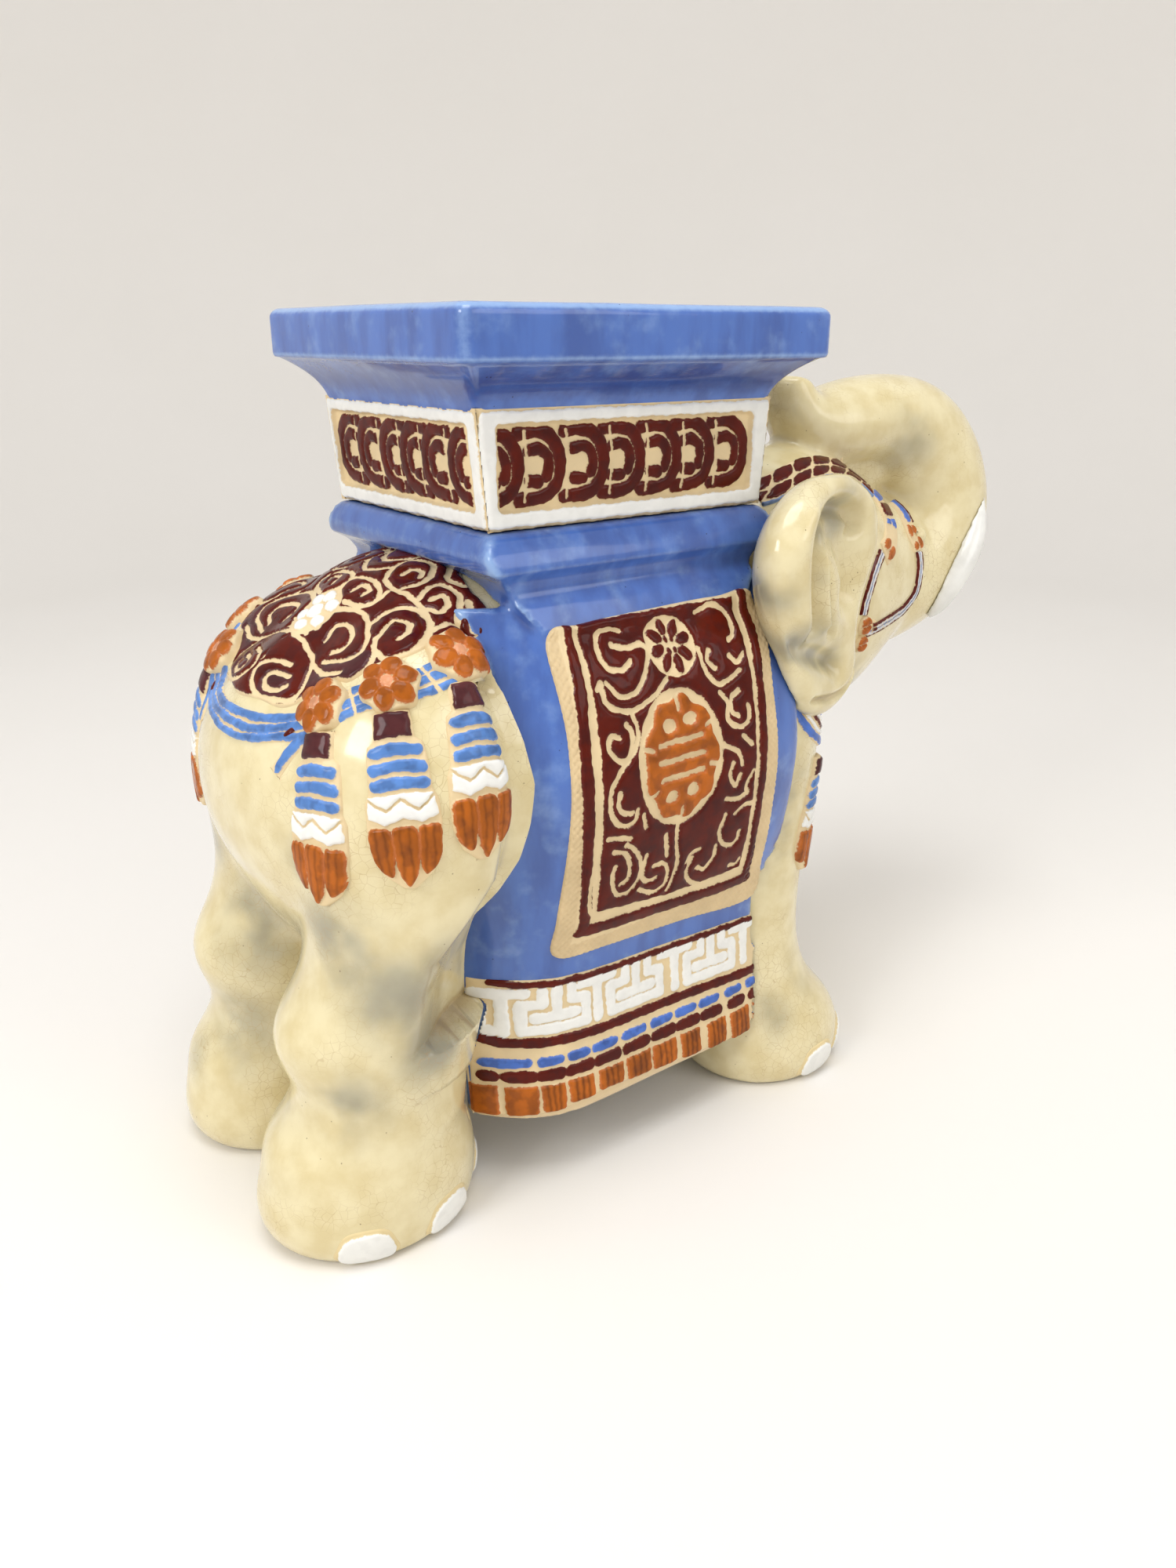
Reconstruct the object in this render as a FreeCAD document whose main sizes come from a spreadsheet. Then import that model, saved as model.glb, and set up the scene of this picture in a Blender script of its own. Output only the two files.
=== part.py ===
import FreeCAD, Part
import math
import os
import Sketcher

from FreeCAD import Matrix, Placement, Rotation, Vector

# Glazed ceramic elephant stool.
# Millimetres. X runs towards the head, Y towards the elephant's left, Z up.
# The animal is laid out about the middle of its seat, on the floor, and every piece is
# then set back by seat_lead, which brings the origin to the middle of the whole stool.

SIZES = [
    ("seat_lead", 70.5),
    ("stool_height", 420),
    ("wall", 8),
    # seat, frieze box and stepped plinth
    ("seat_length", 204.4),
    ("seat_width", 185),
    ("seat_rim_height", 21.3),
    ("seat_rim_round", 4.5),
    ("seat_corner_round", 5),
    ("seat_splay_height", 19.9),
    ("waist_drop_share", 0.45),
    ("waist_spread_share", 0.47),
    ("box_top_length", 168.6),
    ("box_top_width", 141),
    ("box_foot_length", 159),
    ("box_foot_width", 141.4),
    ("box_height", 50.2),
    ("panel_side_margin", 7.5),
    ("panel_top_margin", 6),
    ("panel_foot_margin", 8.5),
    ("panel_recess", 2.5),
    ("panel_relief", 1),
    ("motif_rib", 3.6),
    ("plinth_height", 62),
    ("plinth_foot_length", 126),
    ("plinth_foot_width", 169),
    ("plinth_bead", 6),
    ("plinth_groove", 4.5),
    # torso
    ("torso_rear", 184),
    ("torso_front", 146),
    ("torso_level", 205),
    ("torso_half_width", 103),
    ("torso_rise", 110),
    ("torso_drop", 118),
    ("vent_radius", 12),
    # legs
    ("hind_foot_back", 149),
    ("hind_foot_side", 50),
    ("hind_foot_half_length", 55.5),
    ("hind_foot_half_width", 47),
    ("hind_leg_height", 292),
    ("fore_foot_lead", 104),
    ("fore_foot_side", 67),
    ("fore_foot_half_length", 50),
    ("fore_foot_half_width", 47),
    ("fore_leg_height", 260),
    # head, trunk, tusks, eyes and ears
    ("head_rear", 95),
    ("head_length", 189),
    ("head_level", 264),
    ("head_half_width", 62),
    ("head_rise", 83),
    ("head_drop", 78),
    ("trunk_root", 246),
    ("trunk_reach", 61),
    ("trunk_level", 254),
    ("trunk_climb", 132),
    ("trunk_radius", 45),
    ("trunk_wall", 7),
    ("nostril_radius", 3),
    ("tusk_length", 92),
    ("tusk_radius", 9),
    ("eye_radius", 6),
    ("ear_length", 124),
    ("ear_width", 116),
    ("ear_thickness", 19),
    ("ear_dish", 9),
    ("ear_out", 93),
    ("ear_turn", 16),
    # saddle cloth, rug and hem, all on the flank
    ("flap_rear", 98),
    ("flap_length", 184),
    ("flap_foot", 38),
    ("flap_height", 258),
    ("flap_half_width", 107.5),
    ("flap_wall", 7),
    ("rug_length", 130),
    ("rug_lead", 7),
    ("rug_foot", 122),
    ("rug_height", 160),
    ("rug_relief", 1.2),
    ("rug_border", 9.5),
    ("rug_foot_border", 20),
    ("field_relief", 2),
    ("medallion_length", 47),
    ("medallion_height", 58),
    ("medallion_level", 219),
    ("medallion_relief", 1.6),
    ("medallion_bar", 3.4),
    ("medallion_slot_pitch", 9.7),
    ("medallion_hole_radius", 2.1),
    ("key_band_foot", 77),
    ("key_band_height", 37),
    ("key_band_relief", 1.4),
    ("bead_height", 6),
    ("bead_gap", 2.4),
    ("bead_relief", 1.8),
    ("blue_bead_foot", 59),
    ("brown_bead_foot", 50),
    ("fringe_height", 11),
    ("fringe_gap", 1.8),
    ("fringe_relief", 2.6),
    # cloth, cord, flowers and tassels on the rump and the chest
    ("rump_cloth_relief", 2.6),
    ("cord_relief", 3.2),
    ("cord_width", 12),
    ("cord_level", 281),
    ("cord_end_length", 26),
    ("flower_radius", 12.5),
    ("flower_height", 5.5),
    ("flower_heart_radius", 4),
    ("petal_depth", 2.2),
    ("flower_sink", 6),
    ("tassel_length", 70),
    ("tassel_radius", 13),
    ("tassel_sink", 5),
    ("chest_band_width", 10),
    ("chest_band_level", 236),
    # bridle
    ("brow_relief", 2.4),
    ("brow_width", 14),
    ("strap_relief", 2),
    ("strap_width", 6.5),
    ("bridle_bead_radius", 5.5),
    # toenails
    ("nail_width", 30),
    ("nail_height", 22),
    ("nail_relief", 2),
    # running overlap for cutting tools
    ("overrun", 5),
    ("hair", 1),
]

BEAD_COUNT = 10
FRINGE_COUNT = 11
SIDE_MOTIFS = 7
END_MOTIFS = 6
PETALS = 6

# Double arcs on the frieze: place of the first one in its pitch, size and rib of the inner
# arc against the outer one, and half the sweep of each in degrees.
MOTIF_START_SHARE = 0.3
INNER_ARC_SHARE = 0.385
INNER_RIB_SHARE = 0.77
OUTER_HALF_SWEEP = 52
INNER_HALF_SWEEP = 105

# Slopes in degrees of the cord round the rump and of the chest band, seen from the side.
CORD_SLOPE = 20
CHEST_SLOPE = -40
RING_POINTS = 12

# Torso sections from rump to chest: place along the torso, level of the middle, half width,
# rise above and drop below the middle as shares, then the squareness of the ring.
TORSO_SHARES = [
    (0, 1.015, 0.10, 0.11, 0.085, 2.0),
    (0.009, 1.015, 0.33, 0.255, 0.203, 2.0),
    (0.036, 1.005, 0.583, 0.455, 0.373, 2.05),
    (0.088, 1, 0.777, 0.636, 0.61, 2.15),
    (0.164, 1, 0.893, 0.782, 0.814, 2.2),
    (0.255, 1, 0.961, 0.918, 0.95, 2.25),
    (0.376, 1, 0.99, 0.964, 1, 2.3),
    (0.558, 0.99, 1, 1, 1, 2.3),
    (0.739, 1, 0.981, 0.964, 0.95, 2.3),
    (0.861, 1.024, 0.893, 0.836, 0.847, 2.2),
    (0.945, 1.054, 0.68, 0.655, 0.678, 2.1),
    (1, 1.083, 0.408, 0.409, 0.424, 2.0),
]

# Hind leg from the sole up: height, shift forward, shift outward, half length and half
# width. Heights are shares of the leg, the rest of the foot's half length or half width.
HIND_LEG_SHARES = [
    (0, 0, 0, 0.883, 0.915),
    (0.027, 0, 0, 0.973, 0.979),
    (0.068, 0, 0, 1, 1),
    (0.123, 0.018, 0.021, 0.955, 0.979),
    (0.212, 0.108, 0.043, 0.811, 0.894),
    (0.281, 0.198, 0.064, 0.811, 0.894),
    (0.353, 0.198, 0.064, 0.919, 0.936),
    (0.428, 0.324, 0.106, 0.865, 0.979),
    (0.503, 0.432, 0.128, 0.811, 1.021),
    (0.582, 0.523, 0.106, 0.901, 1.064),
    (0.675, 0.595, 0.085, 1.009, 1.128),
    (0.771, 0.649, 0.043, 1.027, 1.17),
    (0.856, 0.685, -0.043, 0.973, 1.106),
    (0.942, 0.757, -0.191, 0.775, 0.957),
    (1, 0.829, -0.383, 0.396, 0.596),
]

# Front leg, in the same way.
FORE_LEG_SHARES = [
    (0, 0, 0, 0.88, 0.915),
    (0.031, 0, 0, 0.98, 0.979),
    (0.077, 0, 0, 1, 1),
    (0.138, -0.04, -0.021, 0.92, 0.936),
    (0.2, -0.14, -0.043, 0.76, 0.787),
    (0.288, -0.22, -0.106, 0.66, 0.702),
    (0.423, -0.24, -0.149, 0.66, 0.702),
    (0.577, -0.24, -0.191, 0.74, 0.766),
    (0.731, -0.22, -0.277, 0.8, 0.894),
    (0.885, -0.24, -0.426, 0.84, 0.936),
    (1, -0.2, -0.66, 0.68, 0.766),
]

# Head sections from nape to trunk root, in the torso's way.
HEAD_SHARES = [
    (0, 0.992, 0.806, 0.602, 0.641, 2.1),
    (0.106, 1, 0.935, 0.867, 0.795, 2.1),
    (0.265, 1.008, 1, 0.976, 0.949, 2.1),
    (0.423, 1, 0.984, 1, 1, 2.1),
    (0.582, 0.992, 0.887, 0.892, 0.923, 2.1),
    (0.741, 1, 0.758, 0.675, 0.692, 2.1),
    (0.884, 1.015, 0.645, 0.53, 0.538, 2.1),
    (1, 1.042, 0.452, 0.337, 0.359, 2.0),
]

# Trunk from its root, forward, up and back over the brow: forward and up as shares of
# reach and climb, then the radius in the plane of the curl and the radius across it.
TRUNK_SHARES = [
    (0.05, 0.02, 0.9, 0.95),
    (0.62, 0.14, 1, 0.95),
    (0.9, 0.4, 0.99, 0.88),
    (0.68, 0.63, 0.86, 0.8),
    (0.16, 0.765, 0.7, 0.74),
    (-0.4, 0.8, 0.54, 0.68),
    (-0.9, 0.79, 0.47, 0.59),
    (-1.2, 0.87, 0.34, 0.47),
    (-1.29, 1, 0.26, 0.38),
]

# Tusk from its lower end: forward and up of the trunk's root, outward, and radius.
TUSK_SHARES = [
    (0.28, -0.16, 0.38, 0.35),
    (0.32, -0.09, 0.41, 0.75),
    (0.39, 0.03, 0.44, 0.97),
    (0.5, 0.19, 0.455, 1.05),
    (0.61, 0.35, 0.44, 0.95),
    (0.7, 0.51, 0.4, 0.65),
    (0.76, 0.64, 0.365, 0.3),
]

# Ear outline seen from its outer side, as shares of half its width and half its length.
EAR_SHARES = [
    (-0.2, 0.95), (-0.66, 0.82), (-0.96, 0.49), (-0.94, 0.08), (-0.68, -0.43), (-0.4, -0.88),
    (-0.04, -1.07), (0.38, -1.02), (0.68, -0.83), (0.7, -0.47), (0.84, -0.12), (1, 0.28),
    (0.8, 0.7), (0.26, 0.93),
]

# Middle of the ear on the head, then its rings from the root out: scale, place across the
# thickness and shift forward, and the same for the hollow in its outer side.
EAR_PLACE_SHARES = (0.06, 0.25)
EAR_RING_SHARES = [(0.42, -2.4, 0.45), (0.6, -1.4, 0.3), (0.93, -0.5, 0), (1, 0, 0), (0.9, 0.5, 0)]
DISH_RING_SHARES = [(0.36, 0, 0.14), (0.6, 0.5, 0.13), (0.74, 1.5, 0.12)]
EYE_SHARES = (0.84, 0.33)

# Flank of the saddle cloth from the hem up: height and half width.
FLANK_SHARES = [
    (0, 0.907), (0.085, 0.879), (0.163, 0.856), (0.26, 0.837), (0.337, 0.847), (0.434, 0.912),
    (0.57, 0.981), (0.671, 1), (0.744, 0.977), (0.822, 0.93), (0.899, 0.856), (1, 0.72),
]

# Flank of the saddle cloth from its rear edge forward: place and width kept.
FLANK_PLAN_SHARES = [
    (0, 0.68), (0.033, 0.77), (0.098, 0.885), (0.174, 0.965), (0.261, 1), (0.533, 1),
    (0.859, 0.995), (0.957, 0.975), (1, 0.95),
]

# Places of the flowers on the right of the rump and of the tassels below them, as shares
# of torso_rear, torso_half_width and torso_level.
FLOWER_SHARES = [(0.538, 0.77, 1.37), (0.728, 0.757, 1.33), (0.855, 0.573, 1.283)]
TASSEL_SHARES = [
    ((0.554, 0.85, 1.322), (0.585, 1.04, 1.012)),
    ((0.753, 0.84, 1.264), (0.79, 0.96, 0.95)),
    ((0.876, 0.64, 1.225), (0.913, 0.7, 0.9)),
]
CORD_END_SHARE = (0.93, 0.48, 1.2)

# Slots of the medallion from its foot up: steps from its middle, then half length.
SLOT_SHARES = [(-1.5, 0.5), (-0.5, 0.62), (0.5, 0.62), (1.5, 0.5)]
MEDALLION_HOLE_SHARE = 0.74
MEDALLION_SQUARENESS = 2.4

# Tassel from the top down: share of its length and of its greatest radius.
TASSEL_PROFILE_SHARES = [
    (0, 0.46), (0.15, 0.5), (0.2, 0.64), (0.38, 0.7), (0.41, 0.88), (0.6, 1), (0.66, 0.9), (0.86, 0.68),
]

# Front tassel, as shares of fore_foot_lead, torso_half_width and torso_level.
FORE_TASSEL_SHARES = ((1.01, 0.95, 1.005), (0.98, 0.98, 0.7))

# Brow band and strap centre lines seen from the side: shares of head_length forward of
# head_rear, and of head_rise above head_level.
BROW_SHARES = [
    (0.06, 0.62), (0.2, 0.82), (0.38, 0.89), (0.56, 0.82), (0.7, 0.66), (0.775, 0.47), (0.765, 0.27),
]
CHEEK_STRAP_SHARES = [(0.755, 0.27), (0.66, 0.08), (0.56, -0.12), (0.48, -0.26)]
NOSE_STRAP_SHARES = [
    (0.81, 0.5), (0.845, 0.32), (0.85, 0.1), (0.78, -0.14), (0.64, -0.27), (0.48, -0.33),
]
BRIDLE_BEAD_SHARES = [(0.455, -0.27), (0.455, -0.42), (0.835, 0.4), (0.84, 0.24)]

# Turn of each nail about the foot, in degrees forward of straight out to the side.
HIND_NAIL_TURNS = [-28, 28, 82]
FORE_NAIL_TURNS = [8, 52, 96]
NAIL_SHOULDER_SHARE = 0.55

doc = FreeCAD.newDocument("elephant_stool")
sheet = doc.addObject("Spreadsheet::Sheet", "sizes")
for row, (alias, value) in enumerate(SIZES, start=1):
    sheet.set("A%d" % row, alias)
    sheet.set("B%d" % row, str(value))
    sheet.setAlias("B%d" % row, alias)
doc.recompute()

pieces = []


def size(name):
    """Reads one driving dimension from the sheet."""
    return float(sheet.get(name))


def piece(label, shape):
    """Adds a sub-part whose shape is made here, set back to the stool's own origin."""
    feature = doc.addObject("Part::Feature", label)
    feature.Label = label
    feature.Shape = shape
    feature.Placement = Placement(Vector(-size("seat_lead"), 0, 0), Rotation())
    pieces.append(feature)
    return feature


def pair(name, shape):
    """Adds a right-hand piece and its mirror image on the elephant's left."""
    piece(name + "_right", shape)
    piece(name + "_left", shape.mirror(Vector(0, 0, 0), Vector(0, 1, 0)))


# Curves and lofts

def ring(centre, across, up, half_width, rise, drop, squareness):
    """Closed smooth ring in the plane of two unit vectors; rise and drop may differ."""
    power = 2 / squareness
    points = []
    for step in range(RING_POINTS):
        turn = 2 * math.pi * step / RING_POINTS
        side = math.copysign(abs(math.cos(turn)) ** power, math.cos(turn))
        lift = math.copysign(abs(math.sin(turn)) ** power, math.sin(turn))
        reach = rise if lift > 0 else drop
        points.append(centre + across * (half_width * side) + up * (reach * lift))
    curve = Part.BSplineCurve()
    curve.interpolate(Points=points, PeriodicFlag=True)
    return Part.Wire([curve.toShape()])


def barrel(shares, rear, length, level, half_width, rise, drop, grow=0):
    """Loft along X through upright rings; grow swells or shrinks it all round."""
    wires = []
    for along, height, wide, high, low, squareness in shares:
        place = rear - grow + along * (length + 2 * grow)
        centre = Vector(place, 0, level * height)
        wires.append(ring(centre, Vector(0, 1, 0), Vector(0, 0, 1), half_width * wide + grow,
                          rise * high + grow, drop * low + grow, squareness))
    return Part.makeLoft(wires, True, False)


def column(shares, foot, height, half_length, half_width, grow=0, sole=0):
    """Loft along Z for a leg on the elephant's right; grow swells or shrinks it."""
    wires = []
    for up, forward, outward, long, wide in shares:
        centre = Vector(foot.x + forward * half_length, foot.y - outward * half_width,
                        sole + up * (height - sole))
        wires.append(ring(centre, Vector(1, 0, 0), Vector(0, 1, 0), half_length * long + grow,
                          half_width * wide + grow, half_width * wide + grow, 2))
    return Part.makeLoft(wires, True, False)


def smooth_curve(points):
    """Open smooth curve through points."""
    curve = Part.BSplineCurve()
    curve.interpolate(Points=points)
    return curve


def horn(points, radii_in_plane, radii_across, side, grow=0):
    """Loft of rings strung along a smooth curve; side is the across direction."""
    curve = smooth_curve(points)
    wires = []
    for point, near, wide in zip(points, radii_in_plane, radii_across):
        along = Vector(*curve.tangent(curve.parameter(point))[0])
        across = (side - along * along.dot(side)).normalize()
        up = along.cross(across)
        wires.append(ring(point, across, up, wide + grow, near + grow, near + grow, 2))
    return Part.makeLoft(wires, True, False)


def prism(outline, direction):
    """Solid swept from a closed flat wire."""
    return Part.Face(outline).extrude(direction)


def side_box(x_low, x_high, z_low, z_high, reach):
    """Box to the right of the middle plane."""
    return Part.makeBox(x_high - x_low, reach, z_high - z_low, Vector(x_low, -reach, z_low))


def side_strip(points, width, reach):
    """Ribbon of even width along a smooth line seen from the side, cut straight through."""
    curve = smooth_curve([Vector(x, 0, z) for x, z in points])
    first, last = curve.FirstParameter, curve.LastParameter
    upper, lower = [], []
    for step in range(2 * len(points)):
        at = first + (last - first) * step / (2 * len(points) - 1)
        along = Vector(*curve.tangent(at)[0])
        out = along.cross(Vector(0, 1, 0)) * (width / 2)
        upper.append(curve.value(at) + out)
        lower.append(curve.value(at) - out)
    edges = [smooth_curve(upper).toShape(), Part.makeLine(upper[-1], lower[-1]),
             smooth_curve(lower[::-1]).toShape(), Part.makeLine(lower[0], upper[0])]
    return prism(Part.Wire(edges), Vector(0, -reach, 0))


def without(shape, *tools):
    """Cuts away the given solids, apart from those that lie clear of the shape."""
    for tool in tools:
        if shape.BoundBox.intersect(tool.BoundBox):
            shape = shape.cut(tool)
    return shape


def main_solid(shape):
    """Largest solid of a shape, for pieces that a cut may leave with a loose crumb."""
    return max(shape.Solids, key=lambda solid: solid.Volume)


def solids_only(shape, least):
    """Compound of the solids larger than a least volume."""
    return Part.makeCompound([solid for solid in shape.Solids if solid.Volume > least])


# Animal: torso, legs, head

reach = size("seat_width")
overrun = size("overrun")
wall = size("wall")
hair = size("hair")


def torso(grow=0):
    """Barrel of the body."""
    return barrel(TORSO_SHARES, -size("torso_rear"), size("torso_rear") + size("torso_front"),
                  size("torso_level"), size("torso_half_width"), size("torso_rise"),
                  size("torso_drop"), grow)


def hind_leg(grow=0, sole=0):
    """Right hind leg with its thigh."""
    foot = Vector(-size("hind_foot_back"), -size("hind_foot_side"), 0)
    return column(HIND_LEG_SHARES, foot, size("hind_leg_height"), size("hind_foot_half_length"),
                  size("hind_foot_half_width"), grow, sole)


def fore_leg(grow=0, sole=0):
    """Right front leg with its shoulder."""
    foot = Vector(size("fore_foot_lead"), -size("fore_foot_side"), 0)
    return column(FORE_LEG_SHARES, foot, size("fore_leg_height"), size("fore_foot_half_length"),
                  size("fore_foot_half_width"), grow, sole)


def head(grow=0):
    """Skull, cheeks and jaw."""
    return barrel(HEAD_SHARES, size("head_rear"), size("head_length"), size("head_level"),
                  size("head_half_width"), size("head_rise"), size("head_drop"), grow)


def mirrored(shape):
    """The same solid on the elephant's left."""
    return shape.mirror(Vector(0, 0, 0), Vector(0, 1, 0))


torso_mass = torso()
hind_mass = hind_leg()
fore_mass = fore_leg()
head_mass = head()
body_mass = torso_mass.multiFuse([hind_mass, mirrored(hind_mass), fore_mass, mirrored(fore_mass)])
hind_hollow = hind_leg(-wall, wall)
fore_hollow = fore_leg(-wall, wall)
body_hollow = torso(-wall).multiFuse([hind_hollow, mirrored(hind_hollow),
                                      fore_hollow, mirrored(fore_hollow)])
belly = size("torso_level") - size("torso_drop")
vent = Part.makeCylinder(size("vent_radius"), 2 * wall, Vector(0, 0, belly - wall / 2))
body_shell = body_mass.cut(body_hollow).cut(vent)
piece("body_shell", main_solid(body_shell))

head_shell = head_mass.cut(head(-wall)).cut(body_mass)
piece("head_shell", main_solid(head_shell))

# Trunk, tusks and eyes


def trunk(grow=0, rings=len(TRUNK_SHARES)):
    """Curl of the trunk, its first rings only where a count is given."""
    points, near, wide = [], [], []
    for forward, up, radius, across in TRUNK_SHARES[:rings]:
        points.append(Vector(size("trunk_root") + forward * size("trunk_reach"), 0,
                             size("trunk_level") + up * size("trunk_climb")))
        near.append(size("trunk_radius") * radius)
        wide.append(size("trunk_radius") * across)
    return horn(points, near, wide, Vector(0, 1, 0), grow)


trunk_mass = trunk()
trunk_shape = without(trunk_mass, head_mass, trunk(-size("trunk_wall"), 6))
tip = Vector(size("trunk_root") + TRUNK_SHARES[-1][0] * size("trunk_reach"), 0,
             size("trunk_level") + size("trunk_climb"))
for side in (-1, 1):
    nostril_at = tip + Vector(0, side * 2 * size("nostril_radius"), -size("trunk_radius") / 3)
    nostril = Part.makeCylinder(size("nostril_radius"), size("trunk_radius"), nostril_at)
    trunk_shape = trunk_shape.cut(nostril)
piece("trunk", main_solid(trunk_shape))

tusk_points, tusk_radii = [], []
for forward, up, outward, radius in TUSK_SHARES:
    tusk_points.append(Vector(size("trunk_root") + forward * size("tusk_length"),
                              -outward * size("tusk_length"),
                              size("trunk_level") + up * size("tusk_length")))
    tusk_radii.append(size("tusk_radius") * radius)
tusk = horn(tusk_points, tusk_radii, tusk_radii, Vector(0, 1, 0))
pair("tusk", main_solid(without(tusk, trunk_mass, head_mass)))


def surface_point(mass, through, direction):
    """Outermost point where a line through a point, looking along direction, meets a solid."""
    far = size("stool_height")
    line = Part.makeLine(through - direction * far, through + direction * far)
    inside = mass.common(line)
    return min((vertex.Point for vertex in inside.Vertexes), key=lambda p: p.dot(direction))


def outward_normal(mass, point):
    """Outward unit normal of a solid's surface at a point on it."""
    near = Part.Vertex(point)
    face = min(mass.Faces, key=lambda f: f.distToShape(near)[0])
    u, v = face.Surface.parameter(point)
    normal = face.normalAt(u, v)
    step = point + normal * hair
    return -normal if mass.isInside(step, hair / wall, False) else normal


eye_through = Vector(size("head_rear") + EYE_SHARES[0] * size("head_length"), 0,
                     size("head_level") + EYE_SHARES[1] * size("head_rise"))
eye_at = surface_point(head_mass, eye_through, Vector(0, 1, 0))
eye = Part.makeSphere(size("eye_radius"), eye_at + Vector(0, size("eye_radius") / 3, 0))
eye_shape = main_solid(without(eye, head_mass, trunk_mass))

# Seat slab, frieze box and plinth


def rectangle(body, name, level, length, width):
    """Sketched rectangle about the Z axis; its level and sides follow the sheet."""
    plane = next(f for f in body.Origin.OriginFeatures if f.Role == "XY_Plane")
    sketch = body.newObject("Sketcher::SketchObject", name)
    sketch.AttachmentSupport = [(plane, "")]
    sketch.MapMode = "FlatFace"
    half = size("wall")
    corners = [Vector(-half, -half, 0), Vector(half, -half, 0),
               Vector(half, half, 0), Vector(-half, half, 0)]
    for start, end in zip(corners, corners[1:] + corners[:1]):
        sketch.addGeometry(Part.LineSegment(start, end), False)
    for edge in range(4):
        sketch.addConstraint(Sketcher.Constraint("Coincident", edge, 2, (edge + 1) % 4, 1))
    sketch.addConstraint(Sketcher.Constraint("Horizontal", 0))
    sketch.addConstraint(Sketcher.Constraint("Horizontal", 2))
    sketch.addConstraint(Sketcher.Constraint("Vertical", 1))
    sketch.addConstraint(Sketcher.Constraint("Vertical", 3))
    sketch.addConstraint(Sketcher.Constraint("Symmetric", 0, 1, 2, 1, -1, 1))
    sides = (("length", 0, "DistanceX", length), ("width", 1, "DistanceY", width))
    for constraint_name, edge, kind, rule in sides:
        index = sketch.addConstraint(Sketcher.Constraint(kind, edge, 1, edge, 2, 2 * half))
        sketch.renameConstraint(index, constraint_name)
        sketch.setExpression("Constraints." + constraint_name, rule)
    sketch.setExpression(".AttachmentOffset.Base.z", level)
    return sketch


def loft(body, name, sketches, ruled):
    """Lofted solid through sketches in order."""
    feature = body.newObject("PartDesign::AdditiveLoft", name)
    feature.Profile = sketches[0]
    feature.Sections = sketches[1:]
    feature.Ruled = ruled
    return feature


def set_back(body):
    """Ties a body to the stool's origin."""
    body.setExpression(".Placement.Base.x", "-sizes.seat_lead")
    pieces.append(body)


RIM_FOOT = "sizes.stool_height - sizes.seat_rim_height"
BOX_TOP = "sizes.stool_height - sizes.seat_rim_height - sizes.seat_splay_height"

seat = doc.addObject("PartDesign::Body", "seat_slab")
seat.Label = "seat_slab"
splay_foot = rectangle(seat, "splay_foot", BOX_TOP, "sizes.box_top_length", "sizes.box_top_width")
WAIST = "sizes.box_top_%s + (sizes.seat_%s - sizes.box_top_%s) * sizes.waist_spread_share"
WAIST_LEVEL = RIM_FOOT + " - sizes.seat_splay_height * sizes.waist_drop_share"
splay_waist = rectangle(seat, "splay_waist", WAIST_LEVEL,
                        WAIST % ("length", "length", "length"), WAIST % ("width", "width", "width"))
splay_top = rectangle(seat, "splay_top", RIM_FOOT, "sizes.seat_length", "sizes.seat_width")
loft(seat, "splay", [splay_foot, splay_waist, splay_top], False)
rim_sketch = rectangle(seat, "rim_outline", RIM_FOOT, "sizes.seat_length", "sizes.seat_width")
rim = seat.newObject("PartDesign::Pad", "rim")
rim.Profile = rim_sketch
rim.setExpression("Length", "sizes.seat_rim_height")
doc.recompute()
top = size("stool_height")
corner_edges = []
for number, edge in enumerate(rim.Shape.Edges, start=1):
    box = edge.BoundBox
    upright = box.ZLength > size("seat_rim_height") / 2 and max(box.XLength, box.YLength) < hair
    if upright and box.ZMax > top - hair:
        corner_edges.append("Edge%d" % number)
corners = seat.newObject("PartDesign::Fillet", "rim_corners")
corners.Base = (rim, corner_edges)
corners.setExpression("Radius", "sizes.seat_corner_round")
doc.recompute()
top_edges = []
for number, edge in enumerate(corners.Shape.Edges, start=1):
    if edge.BoundBox.ZMin > top - hair:
        top_edges.append("Edge%d" % number)
edge_round = seat.newObject("PartDesign::Fillet", "rim_edge_round")
edge_round.Base = (corners, top_edges)
edge_round.setExpression("Radius", "sizes.seat_rim_round")
hollow_sketch = rectangle(seat, "hollow_outline", BOX_TOP, "sizes.box_top_length - 2 * sizes.wall",
                          "sizes.box_top_width - 2 * sizes.wall")
hollow = seat.newObject("PartDesign::Pocket", "hollow")
hollow.Profile = hollow_sketch
hollow.Reversed = True
hollow.setExpression("Length", "sizes.seat_rim_height + sizes.seat_splay_height - sizes.wall")
set_back(seat)
doc.recompute()

box_top = size("stool_height") - size("seat_rim_height") - size("seat_splay_height")
box_foot = box_top - size("box_height")


def level_rectangle(half_x, half_y, level):
    """Closed flat rectangle about the Z axis."""
    corners_at = [(-half_x, -half_y), (half_x, -half_y), (half_x, half_y), (-half_x, half_y)]
    return Part.makePolygon([Vector(x, y, level) for x, y in corners_at + corners_at[:1]])


def box_mass(inset):
    """Frieze box, a little narrower at the foot, its sides moved in by inset."""
    wires = []
    for level, length, width in ((box_foot, size("box_foot_length"), size("box_foot_width")),
                                 (box_top, size("box_top_length"), size("box_top_width"))):
        half_x = length / 2 - inset
        half_y = width / 2 - inset
        wires.append(level_rectangle(half_x, half_y, level))
    return Part.makeLoft(wires, True, True)


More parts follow.
